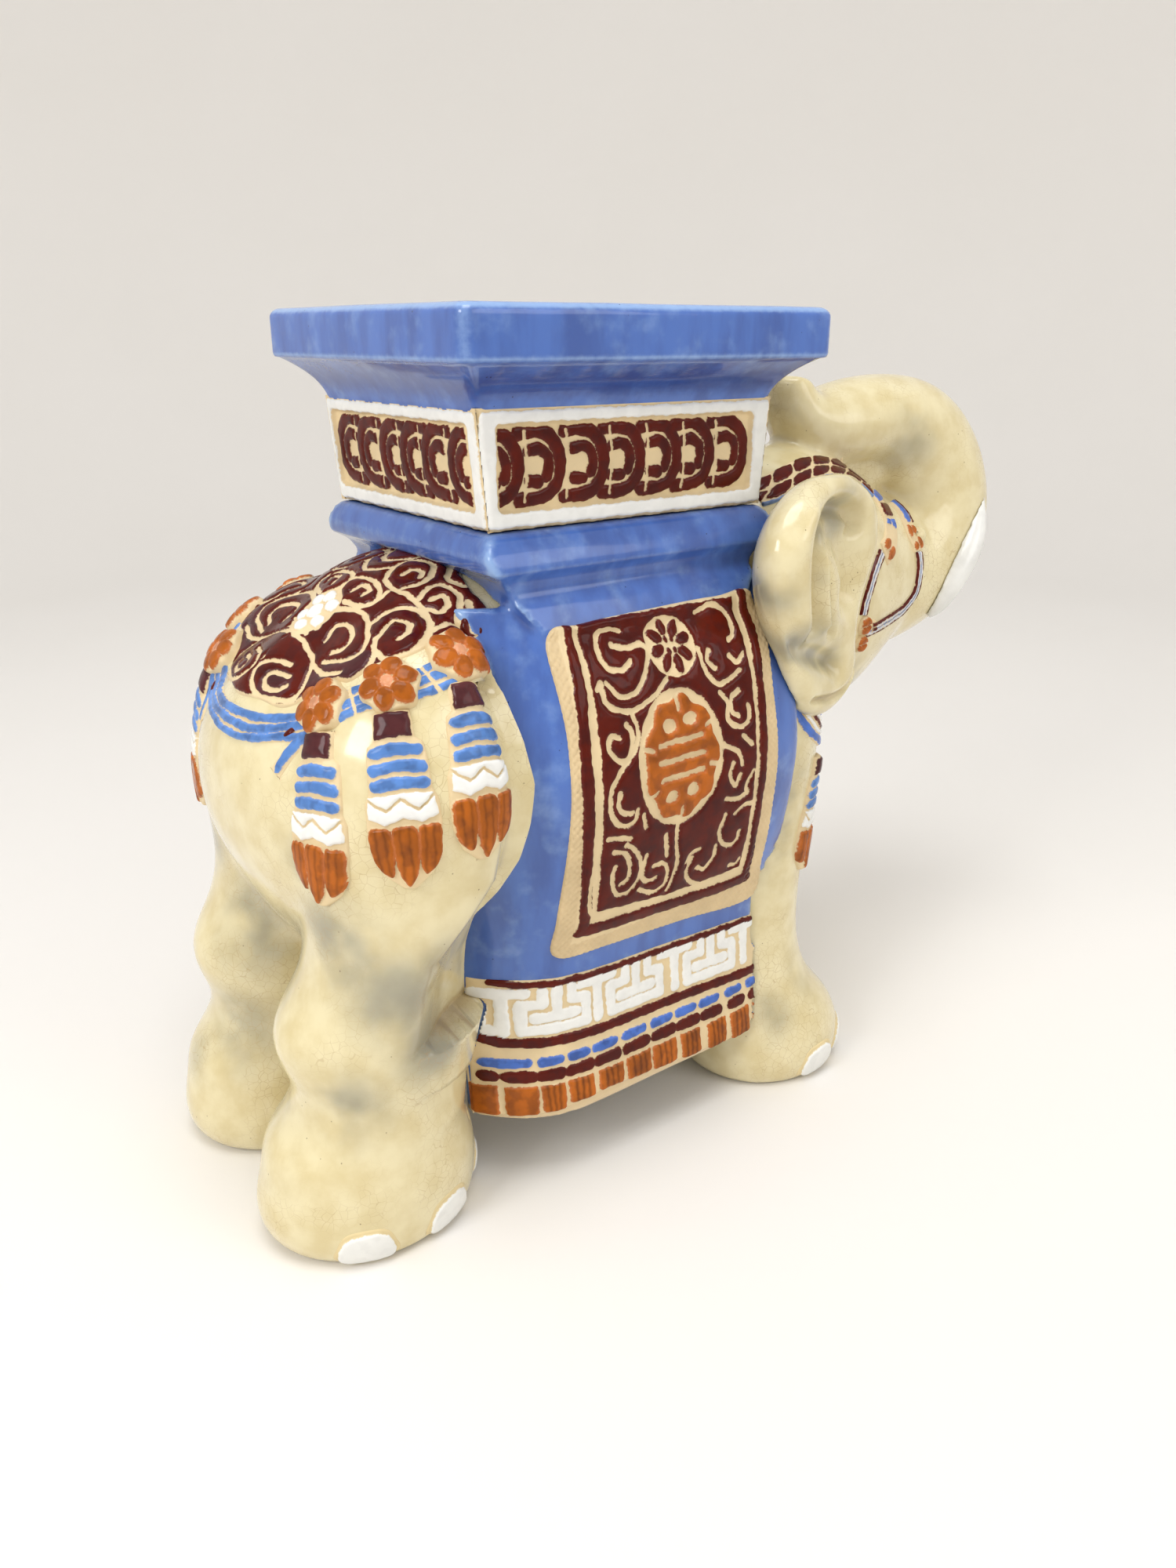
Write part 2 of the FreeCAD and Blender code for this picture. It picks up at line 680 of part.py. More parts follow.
window_foot = box_foot + size("panel_foot_margin")
window_top = box_top - size("panel_top_margin")
window_height = window_top - window_foot
side_window = side_box(-size("box_foot_length") / 2 + size("panel_side_margin"),
                       size("box_foot_length") / 2 - size("panel_side_margin"),
                       window_foot, window_top, reach)
end_half = size("box_foot_width") / 2 - size("panel_side_margin")
end_window = Part.makeBox(reach, 2 * end_half, window_height, Vector(0, -end_half, window_foot))
outer_box = box_mass(0)
floor_box = box_mass(size("panel_recess"))
ground_box = box_mass(size("panel_relief"))
recess_layer = outer_box.cut(floor_box)
ground_layer = ground_box.cut(floor_box)
relief_layer = outer_box.cut(ground_box)


def end_for_end(shape):
    """The same solid at the other end of the seat."""
    return shape.mirror(Vector(0, 0, 0), Vector(1, 0, 0))


frieze_box = without(outer_box.cut(box_mass(wall)), recess_layer.common(side_window),
                     recess_layer.common(mirrored(side_window)), recess_layer.common(end_window),
                     recess_layer.common(end_for_end(end_window)))
piece("frieze_box", main_solid(frieze_box))


def arc_rib(centre, along, radius, rib, half_sweep):
    """Upright rib bent to an arc that bulges along one direction, cut straight through."""
    outer, inner = radius + rib / 2, radius - rib / 2
    through = along.cross(Vector(0, 0, 1))

    def at(radius_at, angle):
        turn = math.radians(angle)
        return centre + along * (radius_at * math.cos(turn)) + Vector(0, 0, radius_at * math.sin(turn))

    edges = [Part.Arc(at(outer, -half_sweep), at(outer, 0), at(outer, half_sweep)).toShape(),
             Part.makeLine(at(outer, half_sweep), at(inner, half_sweep)),
             Part.Arc(at(inner, half_sweep), at(inner, 0), at(inner, -half_sweep)).toShape(),
             Part.makeLine(at(inner, -half_sweep), at(outer, -half_sweep))]
    return prism(Part.Wire(edges), through * reach)


def frieze_panel(window, along, half_length, count):
    """Panel with its row of double arcs, which all bulge along one direction."""
    pitch = 2 * half_length / count
    radius = (window_height - size("motif_rib")) / 2 - size("panel_relief")
    ribs = []
    for step in range(count):
        centre = along * ((step + MOTIF_START_SHARE) * pitch - half_length)
        centre += Vector(0, 0, window_foot + window_height / 2)
        ribs.append(arc_rib(centre, along, radius, size("motif_rib"), OUTER_HALF_SWEEP))
        ribs.append(arc_rib(centre, along, radius * INNER_ARC_SHARE, size("motif_rib") * INNER_RIB_SHARE,
                            INNER_HALF_SWEEP))
    motifs = relief_layer.common(window).common(Part.makeCompound(ribs))
    return main_solid(ground_layer.common(window).fuse(motifs))


side_half = size("box_foot_length") / 2 - size("panel_side_margin")
side_panel = frieze_panel(side_window, Vector(1, 0, 0), side_half, SIDE_MOTIFS)
pair("frieze_panel", side_panel)
end_panel = frieze_panel(end_window, Vector(0, 1, 0), end_half, END_MOTIFS)
piece("frieze_panel_front", end_panel)
piece("frieze_panel_rear", end_for_end(end_panel))

# Plinth mouldings from the box down to the back: share of the height, extra half length
# and extra half width over the foot of the box, in beads and grooves.
bead = size("plinth_bead")
groove = size("plinth_groove")
box_half = Vector(size("box_foot_length") / 2, size("box_foot_width") / 2, 0)
foot_half = Vector(size("plinth_foot_length") / 2, size("plinth_foot_width") / 2, 0)
PLINTH_SHARES = [
    (0, 0, 0, 0), (0.05, 0, 0.55, 0), (0.16, 0, 1, 0), (0.26, 0.1, 1, 0), (0.33, 0.25, 0.7, 0.8),
    (0.43, 0.4, 0.5, 1), (0.52, 0.6, 0.45, 0.35), (0.68, 1, 0, 0), (1, 1, 0, 0),
]
plinth_wires = []
for down, spread, bulge, sunk in PLINTH_SHARES:
    half_x = box_half.x + (foot_half.x - box_half.x) * spread + bead * bulge - groove * sunk
    half_y = box_half.y + (foot_half.y - box_half.y) * max(spread, down) + bead * bulge - groove * sunk
    level = box_foot - down * size("plinth_height")
    plinth_wires.append(level_rectangle(half_x, half_y, level))
plinth_mass = Part.makeLoft(plinth_wires, True, True)
core_at = Vector(2 * wall - box_half.x, 2 * wall - box_half.y, box_foot - size("plinth_height"))
plinth_core = Part.makeBox(-2 * core_at.x, -2 * core_at.y, size("plinth_height") + overrun, core_at)
plinth = without(plinth_mass, body_mass, head_mass, plinth_core)
piece("stepped_plinth", main_solid(plinth))

# Saddle cloth and what lies on it


def flank_face(out):
    """Outer face of the saddle cloth on the right, moved outward by out."""
    rows = []
    for along, kept in FLANK_PLAN_SHARES:
        row = []
        for up, wide in FLANK_SHARES:
            row.append(Vector(-size("flap_rear") + along * size("flap_length"),
                              -size("flap_half_width") * wide * kept - out,
                              size("flap_foot") + up * size("flap_height")))
        rows.append(row)
    surface = Part.BSplineSurface()
    surface.interpolate(rows)
    return surface.toShape()


def flank_layer(under, thickness):
    """Layer of even thickness over the saddle cloth, its inner face out by under."""
    return flank_face(under + thickness).extrude(Vector(0, thickness, 0))


flap_mass = flank_face(0).extrude(Vector(0, size("flap_wall"), 0))
flap = without(flap_mass, torso_mass, hind_mass, fore_mass, plinth_mass, head_mass)
flap = main_solid(flap)
pair("saddle_flap", flap)

rug_rear = size("rug_lead") - size("rug_length") / 2
rug_front = size("rug_lead") + size("rug_length") / 2
rug_top = size("rug_foot") + size("rug_height")
field_rear = rug_rear + size("rug_border")
field_front = rug_front - size("rug_border")
field_foot = size("rug_foot") + size("rug_foot_border")
field_top = rug_top - size("rug_border") / 2
rug_outline = side_box(rug_rear, rug_front, size("rug_foot"), rug_top, reach)
field_outline = side_box(field_rear, field_front, field_foot, field_top, reach)
border = flank_layer(0, size("rug_relief")).common(rug_outline.cut(field_outline))
rug_border = main_solid(without(border, plinth_mass, fore_mass))
pair("rug_border", rug_border)
field = flank_layer(0, size("field_relief")).common(field_outline)
pair("rug_field", main_solid(without(field, plinth_mass)))

medallion_half = Vector(size("medallion_length") / 2, 0, size("medallion_height") / 2)
medallion_at = Vector(size("rug_lead") - size("medallion_bar"), 0, size("medallion_level"))
oval = ring(medallion_at, Vector(1, 0, 0), Vector(0, 0, 1), medallion_half.x, medallion_half.z,
            medallion_half.z, MEDALLION_SQUARENESS)
medallion_cutters = []
bar = size("medallion_bar")
for step, kept in SLOT_SHARES:
    slot_level = medallion_at.z + step * size("medallion_slot_pitch")
    slot_half = medallion_half.x * kept
    medallion_cutters.append(side_box(medallion_at.x - slot_half, medallion_at.x + slot_half,
                                      slot_level - bar / 2, slot_level + bar / 2, reach))
for step in (-1, 1):
    hole_at = Vector(medallion_at.x, 0, medallion_at.z + step * medallion_half.z * MEDALLION_HOLE_SHARE)
    hole = Part.makeCylinder(size("medallion_hole_radius"), reach, hole_at, Vector(0, -1, 0))
    medallion_cutters.append(hole)
medallion_column = prism(oval, Vector(0, -reach, 0)).cut(Part.makeCompound(medallion_cutters))
medallion = flank_layer(size("field_relief"), size("medallion_relief")).common(medallion_column)
pair("medallion", main_solid(medallion))

hem_rear = -size("flap_rear") + overrun
hem_front = -size("flap_rear") + size("flap_length") - overrun
key_outline = side_box(hem_rear, hem_front, size("key_band_foot"),
                       size("key_band_foot") + size("key_band_height"), reach)
key_band = flank_layer(0, size("key_band_relief")).common(key_outline)
pair("key_band", main_solid(without(key_band, hind_mass, fore_mass)))


def comb(count, gap, foot, height, relief):
    """Row of evenly spaced pads on the hem."""
    pitch = (hem_front - hem_rear) / count
    starts = [hem_rear + step * pitch + gap / 2 for step in range(count)]
    boxes = [side_box(start, start + pitch - gap, foot, foot + height, reach) for start in starts]
    pads = without(flank_layer(0, relief).common(Part.makeCompound(boxes)), hind_mass, fore_mass)
    return [solid for solid in pads.Solids if solid.Volume > relief ** 3]


blue_beads, brown_beads = (
    comb(BEAD_COUNT, size("bead_gap"), size(foot), size("bead_height"), size("bead_relief"))
    for foot in ("blue_bead_foot", "brown_bead_foot"))
pair("bead_rows", Part.makeCompound(blue_beads + brown_beads))
tabs = comb(FRINGE_COUNT, size("fringe_gap"), size("flap_foot"), size("fringe_height"), size("fringe_relief"))
pair("fringe", Part.makeCompound(tabs))

# Flowers and tassels on the rump

rump_mass = torso_mass.fuse(hind_mass)


def on_rump(shares):
    """Place on the right of the rump from shares of the torso's own sizes."""
    back, side, level = shares
    through = Vector(-size("torso_rear") * back, -size("torso_half_width") * side,
                     size("torso_level") * level)
    middle = Vector(-size("torso_rear") / 2, 0, size("torso_level"))
    return surface_point(rump_mass, through, (middle - through).normalize())


def aligned(shape, origin, along, out):
    """Shape made along -Z with +X outward, moved to origin and turned to along and out."""
    down = Vector(along).normalize()
    face = (out - down * down.dot(out)).normalize()
    side = face.cross(down)
    turn = Matrix(face.x, side.x, -down.x, origin.x, face.y, side.y, -down.y, origin.y,
                  face.z, side.z, -down.z, origin.z, 0, 0, 0, 1)
    moved = shape.copy()
    moved.Placement = Placement(turn)
    return moved


# Flower: a lobed disc with a raised middle, about the X axis
lobes = []
for step in range(2 * PETALS):
    turn = math.pi * step / PETALS
    lobe = size("flower_radius") - size("petal_depth") * (step % 2)
    lobes.append(Vector(-size("flower_sink"), lobe * math.cos(turn), lobe * math.sin(turn)))
flower_edge = Part.BSplineCurve()
flower_edge.interpolate(Points=lobes, PeriodicFlag=True)
disc_depth = size("flower_sink") + size("flower_height") / 2
disc = prism(Part.Wire([flower_edge.toShape()]), Vector(disc_depth, 0, 0))
heart = Part.makeCylinder(size("flower_heart_radius"), size("flower_sink") + size("flower_height"),
                          Vector(-size("flower_sink"), 0, 0), Vector(1, 0, 0))
flower = disc.fuse(heart)

# Tassel: turned from one profile, with cap, rings, skirt and pointed tip
tassel_line = [Vector(0, 0, 0)]
for down, wide in TASSEL_PROFILE_SHARES:
    tassel_line.append(Vector(size("tassel_radius") * wide, 0, -size("tassel_length") * down))
tassel_line.append(Vector(0, 0, -size("tassel_length")))
tassel_face = Part.Face(Part.makePolygon(tassel_line + tassel_line[:1]))
tassel = tassel_face.revolve(Vector(0, 0, 0), Vector(0, 0, 1), 360)

flowers = []
for shares in FLOWER_SHARES:
    at = on_rump(shares)
    placed = aligned(flower, at, Vector(0, 0, -1), outward_normal(rump_mass, at))
    flowers.append(main_solid(without(placed, rump_mass)))

tassels = []
for cap_shares, tip_shares in TASSEL_SHARES:
    cap_at, tip_at = on_rump(cap_shares), on_rump(tip_shares)
    out = outward_normal(rump_mass, cap_at)
    placed = aligned(tassel, cap_at - out * size("tassel_sink"), tip_at - cap_at, out)
    tassels.append(main_solid(without(placed, rump_mass, *flowers)))

end_at = on_rump(CORD_END_SHARE)
end_bar = Part.makeBox(size("cord_relief") + wall, size("cord_width") / 2, size("cord_end_length"),
                       Vector(-wall, -size("cord_width") / 4, -size("cord_end_length")))
end_shape = aligned(end_bar, end_at, Vector(0, 1, -1), outward_normal(rump_mass, end_at))
cord_end = main_solid(without(end_shape, rump_mass, *flowers, *tassels))

for number, (rosette, hanging) in enumerate(zip(flowers, tassels), start=1):
    pair("flower_%d" % number, rosette)
    pair("tassel_%d" % number, hanging)
pair("cord_end", cord_end)

# Rump cloth and cord, open where flowers, tassels and cord ends stand


def tilted_slab(level, at_x, slope, thickness):
    """Wide slab whose lower face passes level at at_x and climbs forward by slope degrees."""
    far = size("stool_height")
    slab = Part.makeBox(2 * far, far, thickness, Vector(-far, -far, 0))
    slab.rotate(Vector(0, 0, 0), Vector(0, 1, 0), -slope)
    slab.translate(Vector(at_x, 0, level))
    return slab


def rump_skin(grow, region):
    """Skin over the rump and thighs in a region, made on the right and mirrored across."""
    swollen = torso(grow).common(region).fuse(hind_leg(grow).common(region))
    bare = without(swollen, torso_mass, hind_mass, plinth_mass, flap, *flowers, *tassels, cord_end)
    half = main_solid(bare)
    return half.fuse(mirrored(half)).removeSplitter()


behind = side_box(-2 * size("torso_rear"), -foot_half.x - overrun, size("torso_level"),
                  size("stool_height"), reach)
cord_at = -size("torso_rear") / 2
cord_low = size("cord_level") - size("cord_width")
cord_region = tilted_slab(cord_low, cord_at, CORD_SLOPE, size("cord_width")).common(behind)
piece("crupper_cord", main_solid(rump_skin(size("cord_relief"), cord_region)))
cloth_region = tilted_slab(size("cord_level"), cord_at, CORD_SLOPE, size("stool_height")).common(behind)
piece("rump_cloth", main_solid(rump_skin(size("rump_cloth_relief"), cloth_region)))

# Chest band and front tassels

chest_mass = torso_mass.fuse(fore_mass)
ahead = side_box(-size("flap_rear") + size("flap_length"), 2 * size("torso_front"), 0, size("stool_height"),
                 reach)
chest_slab = tilted_slab(size("chest_band_level"), size("fore_foot_lead"), CHEST_SLOPE,
                         size("chest_band_width"))
chest_region = chest_slab.common(ahead)
chest_swollen = torso(size("cord_relief")).common(chest_region)
chest_swollen = chest_swollen.fuse(fore_leg(size("cord_relief")).common(chest_region))
chest_band = without(chest_swollen, torso_mass, fore_mass, head_mass)

ear_turn = math.radians(size("ear_turn"))
ear_across = Vector(math.cos(ear_turn), math.sin(ear_turn), 0)
ear_out = Vector(math.sin(ear_turn), -math.cos(ear_turn), 0)
ear_at = Vector(size("head_rear") + size("head_length") * EAR_PLACE_SHARES[0], -size("ear_out"),
                size("head_level") + size("head_rise") * EAR_PLACE_SHARES[1])


def ear_ring(scale, out, forward):
    """Ear outline, scaled about its middle and moved out."""
    points = []
    for across, up in EAR_SHARES:
        points.append(ear_at + ear_across * ((across * scale + forward) * size("ear_width") / 2)
                      + Vector(0, 0, up * scale * size("ear_length") / 2) + ear_out * out)
    curve = Part.BSplineCurve()
    curve.interpolate(Points=points, PeriodicFlag=True)
    return Part.Wire([curve.toShape()])


ear_rings = [ear_ring(scale, out * size("ear_thickness"), ahead_by)
             for scale, out, ahead_by in EAR_RING_SHARES]
ear_mass = Part.makeLoft(ear_rings, True, False)
dish_floor = size("ear_thickness") / 2 - size("ear_dish")
dish_rings = [ear_ring(scale, dish_floor + out * size("ear_dish"), ahead_by)
              for scale, out, ahead_by in DISH_RING_SHARES]
dish = Part.makeLoft(dish_rings, True, False)
ear = without(ear_mass, dish, head_mass, body_mass, trunk_mass, plinth_mass, flap_mass,
              rug_border, outer_box)
ear = main_solid(ear)
pair("ear", ear)
chest_band = without(chest_band, ear_mass)


def on_shoulder(shares):
    """Place on the right shoulder from shares of the front leg's and torso's sizes."""
    ahead_by, side, level = shares
    through = Vector(size("fore_foot_lead") * ahead_by, -size("torso_half_width") * side,
                     size("torso_level") * level)
    return surface_point(chest_mass, through, Vector(0, 1, 0))


cap_at, tip_at = on_shoulder(FORE_TASSEL_SHARES[0]), on_shoulder(FORE_TASSEL_SHARES[1])
out = outward_normal(chest_mass, cap_at)
fore_tassel = aligned(tassel, cap_at - out * size("tassel_sink"), tip_at - cap_at, out)
fore_tassel = main_solid(without(fore_tassel, chest_mass, ear))
pair("fore_tassel", fore_tassel)
chest_half = main_solid(without(chest_band, fore_tassel))
piece("chest_band", chest_half.fuse(mirrored(chest_half)))

# Bridle on the head


def on_head(share):
    """X and Z of a place seen from the side of the head."""
    along, up = share
    return (size("head_rear") + along * size("head_length"), size("head_level") + up * size("head_rise"))


def head_strip(shares, width, relief):
    """Strap of even width on the right of the head."""
    strip = side_strip([on_head(share) for share in shares], width, reach)
    return head(relief).common(strip).cut(head_mass)


brow = head_strip(BROW_SHARES, size("brow_width"), size("brow_relief"))
brow = without(brow, ear_mass, trunk_mass, body_mass, outer_box, plinth_mass)
pair("brow_band", main_solid(brow))
cheek = head_strip(CHEEK_STRAP_SHARES, size("strap_width"), size("strap_relief"))
nose = head_strip(NOSE_STRAP_SHARES, size("strap_width"), size("strap_relief"))
beads = []
for share in BRIDLE_BEAD_SHARES:
    x, z = on_head(share)
    at = surface_point(head_mass, Vector(x, 0, z), Vector(0, 1, 0))
    beads.append(Part.makeSphere(size("bridle_bead_radius"), at))
bead_cut = [without(bead_ball, head_mass, ear_mass, trunk_mass, brow) for bead_ball in beads]
straps = without(cheek.fuse(nose), ear_mass, trunk_mass, brow, *beads)
pair("bridle", solids_only(straps, size("strap_relief") ** 3))
pair("bridle_beads", solids_only(Part.makeCompound(bead_cut), size("strap_relief") ** 3))
pair("eye", main_solid(without(eye_shape, brow, straps)))

# Toenails


def nails(leg_at, leg_mass, foot, turns):
    """Three arched nails on the skin of one foot."""
    solids = []
    swollen = leg_at(size("nail_relief"))
    for angle in turns:
        turn = math.radians(angle)
        out = Vector(math.sin(turn), -math.cos(turn), 0)
        across = Vector(math.cos(turn), math.sin(turn), 0)
        base = foot + Vector(0, 0, size("nail_relief"))
        half = size("nail_width") / 2
        shoulder = Vector(0, 0, size("nail_height") * NAIL_SHOULDER_SHARE)
        low_left = base - across * half
        low_right = base + across * half
        arch = [low_left + shoulder, base + Vector(0, 0, size("nail_height")), low_right + shoulder]
        outline = Part.Wire([Part.makeLine(low_left, arch[0]), Part.Arc(*arch).toShape(),
                             Part.makeLine(arch[2], low_right), Part.makeLine(low_right, low_left)])
        nail = swollen.common(prism(outline, out * reach)).cut(leg_mass)
        solids.append(main_solid(nail))
    return Part.makeCompound(solids)


hind_centre = Vector(-size("hind_foot_back"), -size("hind_foot_side"), 0)
fore_centre = Vector(size("fore_foot_lead"), -size("fore_foot_side"), 0)
pair("hind_toenails", nails(hind_leg, hind_mass, hind_centre, HIND_NAIL_TURNS))
pair("fore_toenails", nails(fore_leg, fore_mass, fore_centre, FORE_NAIL_TURNS))

# Check every piece, then write it out

doc.recompute()
for item in doc.Objects:
    if "Invalid" in item.State or "Error" in item.State:
        raise RuntimeError("%s failed: %s" % (item.Label, item.State))
for item in pieces:
    if item.Shape.isNull() or not item.Shape.isValid() or not item.Shape.Solids:
        raise RuntimeError("%s has no valid solid" % item.Label)
os.makedirs("parts", exist_ok=True)
for item in pieces:
    item.Shape.exportStep("parts/%s.step" % item.Label)
whole = Part.makeCompound([item.Shape for item in pieces]).BoundBox
print("%d pieces, X %.1f to %.1f, Y %.1f to %.1f, Z %.1f to %.1f" % (
    len(pieces), whole.XMin, whole.XMax, whole.YMin, whole.YMax, whole.ZMin, whole.ZMax))
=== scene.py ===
import logging
import math
from dataclasses import dataclass
from enum import Enum
from functools import partial
from typing import Callable, Sequence

import bmesh
import bpy
import numpy as np
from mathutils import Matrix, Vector
from mathutils.bvhtree import BVHTree


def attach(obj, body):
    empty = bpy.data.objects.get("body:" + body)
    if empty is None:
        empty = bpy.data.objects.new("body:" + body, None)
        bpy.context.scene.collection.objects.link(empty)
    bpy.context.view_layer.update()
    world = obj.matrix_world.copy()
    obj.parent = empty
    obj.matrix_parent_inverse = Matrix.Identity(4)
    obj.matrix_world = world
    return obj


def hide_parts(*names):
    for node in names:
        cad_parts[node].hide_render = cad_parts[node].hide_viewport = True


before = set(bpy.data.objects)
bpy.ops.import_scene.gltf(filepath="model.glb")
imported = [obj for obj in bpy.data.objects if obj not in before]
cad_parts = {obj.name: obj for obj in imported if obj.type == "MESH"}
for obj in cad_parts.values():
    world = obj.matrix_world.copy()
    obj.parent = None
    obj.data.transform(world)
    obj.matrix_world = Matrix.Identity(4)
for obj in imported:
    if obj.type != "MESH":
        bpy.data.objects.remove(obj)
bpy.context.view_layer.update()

LOG = logging.getLogger("elephant_stool")
MM = 0.001
SEAT_LEAD = 70.5   # mm from the frame's origin back to the middle of the seat
SEAT_X = -SEAT_LEAD * MM   # the seat's middle in the frame, in metres
OUTSIDE = -5.0   # how far inside a glaze field a place counts where nothing is drawn, in mm
MARGIN = 3   # mm round a stroke or field that it still changes
SPOT_LIFT = 0.03   # metres off the carrier where a small patch's rays start
PATH_PARTS = 12   # short runs between two points of a path
SPREAD = 0.006   # metres round a place over which the carrier's normal is averaged

Points = Sequence[tuple[float, float]]
Array = np.ndarray
Outline = Callable[[Array, Array], Array]
Material = bpy.types.Material
Piece = bpy.types.Object
Mesh = bpy.types.Mesh
Shape = bmesh.types.BMesh
Node = bpy.types.Node
NodeTree = bpy.types.NodeTree
Socket = bpy.types.NodeSocket


class Side(Enum):
    """Which flank a piece lies on."""

    RIGHT = -1
    LEFT = 1

    @property
    def word(self) -> str:
        """The ending of a node's name."""
        return self.name.lower()


@dataclass(frozen=True)
class Tint:
    """A fired colour, as seen on screen from 0 to 255."""

    red: float
    green: float
    blue: float

    def linear(self) -> tuple[float, float, float, float]:
        """The colour in scene light, with full alpha."""
        return tuple(((c / 255 + 0.055) / 1.055) ** 2.4 for c in (self.red, self.green, self.blue)) + (1.0,)


CREAM = Tint(224, 205, 158)
BARE_RIDGE = Tint(226, 204, 162)
BARE_TAN = Tint(218, 194, 152)
TREACLE = Tint(84, 20, 8)
PLUM = Tint(80, 40, 42)
BLUE = Tint(74, 110, 190)
CORD_BLUE = Tint(88, 130, 194)
WHITE = Tint(236, 236, 232)
AMBER = Tint(172, 92, 26)
PINK_CLAY = Tint(212, 150, 112)
# the strap's white glaze greyed as painted shade, and the painted blue-grey shade between its two cords
CORD_WHITE_SHADED = Tint(214, 216, 222)
CORD_SHADE_GREY = Tint(104, 124, 160)
NET_BLUE = Tint(110, 134, 176)


# ---- shader graphs


class Graph:
    """A short hand for building one node tree."""

    def __init__(self, tree: NodeTree) -> None:
        """Keeps the tree that nodes go into."""
        self.tree = tree

    def add(self, kind: str, inputs: dict | None = None, **settings: object) -> Node:
        """Adds a node.

        Args:
            kind: the node's class name.
            inputs: a value or an output socket for each named or numbered input.
            settings: the node's own properties.
        Returns:
            The new node.
        """
        node = self.tree.nodes.new(kind)
        for name, value in settings.items():
            setattr(node, name, value)
        for name, value in (inputs or {}).items():
            if isinstance(value, Socket):
                self.tree.links.new(value, node.inputs[name])
            else:
                node.inputs[name].default_value = value
        return node

    def math(self, operation: str, *values: object) -> Socket:
        """Adds a Math node on the given values and returns its output."""
        return self.add("ShaderNodeMath", dict(enumerate(values)), operation=operation).outputs[0]

    def times(self, *values: object) -> Socket:
        """The product of two values."""
        return self.math("MULTIPLY", *values)

    def plus(self, *values: object) -> Socket:
        """The sum of two values."""
        return self.math("ADD", *values)

    def minus(self, *values: object) -> Socket:
        """The first value less the second."""
        return self.math("SUBTRACT", *values)

    def where(self) -> Socket:
        """The place in the object's own coordinates."""
        return self.add("ShaderNodeTexCoord").outputs["Object"]

    def step(self, value: object, low: float, high: float, to_low: float = 0, to_high: float = 1) -> Socket:
        """Adds a smooth ramp of value from low..high to to_low..to_high and returns its output."""
        inputs = {"Value": value, "From Min": low, "From Max": high, "To Min": to_low, "To Max": to_high}
        return self.add("ShaderNodeMapRange", inputs, interpolation_type="SMOOTHSTEP").outputs["Result"]

    def noise(self, where: Socket, scale: float, detail: float = 3) -> Socket:
        """Adds a noise at that scale and returns its value."""
        return self.add("ShaderNodeTexNoise", {"Vector": where, "Scale": scale, "Detail": detail}).outputs["Fac"]

    def mix(self, share: object, first: object, second: object, blend: str = "MIX") -> Socket:
        """Mixes two colours by share and returns the result.

        Args:
            share: how much of the second.
            first: the first colour.
            second: the second colour.
            blend: how they mix.
        Returns:
            The mixed colour.
        """
        node = self.add("ShaderNodeMix", data_type="RGBA", blend_type=blend)
        for socket, value in zip((node.inputs[0], node.inputs[6], node.inputs[7]), (share, first, second)):
            if isinstance(value, Socket):
                self.tree.links.new(value, socket)
            else:
                socket.default_value = value.linear() if isinstance(value, Tint) else value
        return node.outputs[2]

    def attribute(self, name: str, output: str = "Fac") -> Socket:
        """Reads one of the mesh's own attributes."""
        return self.add("ShaderNodeAttribute", attribute_name=name).outputs[output]


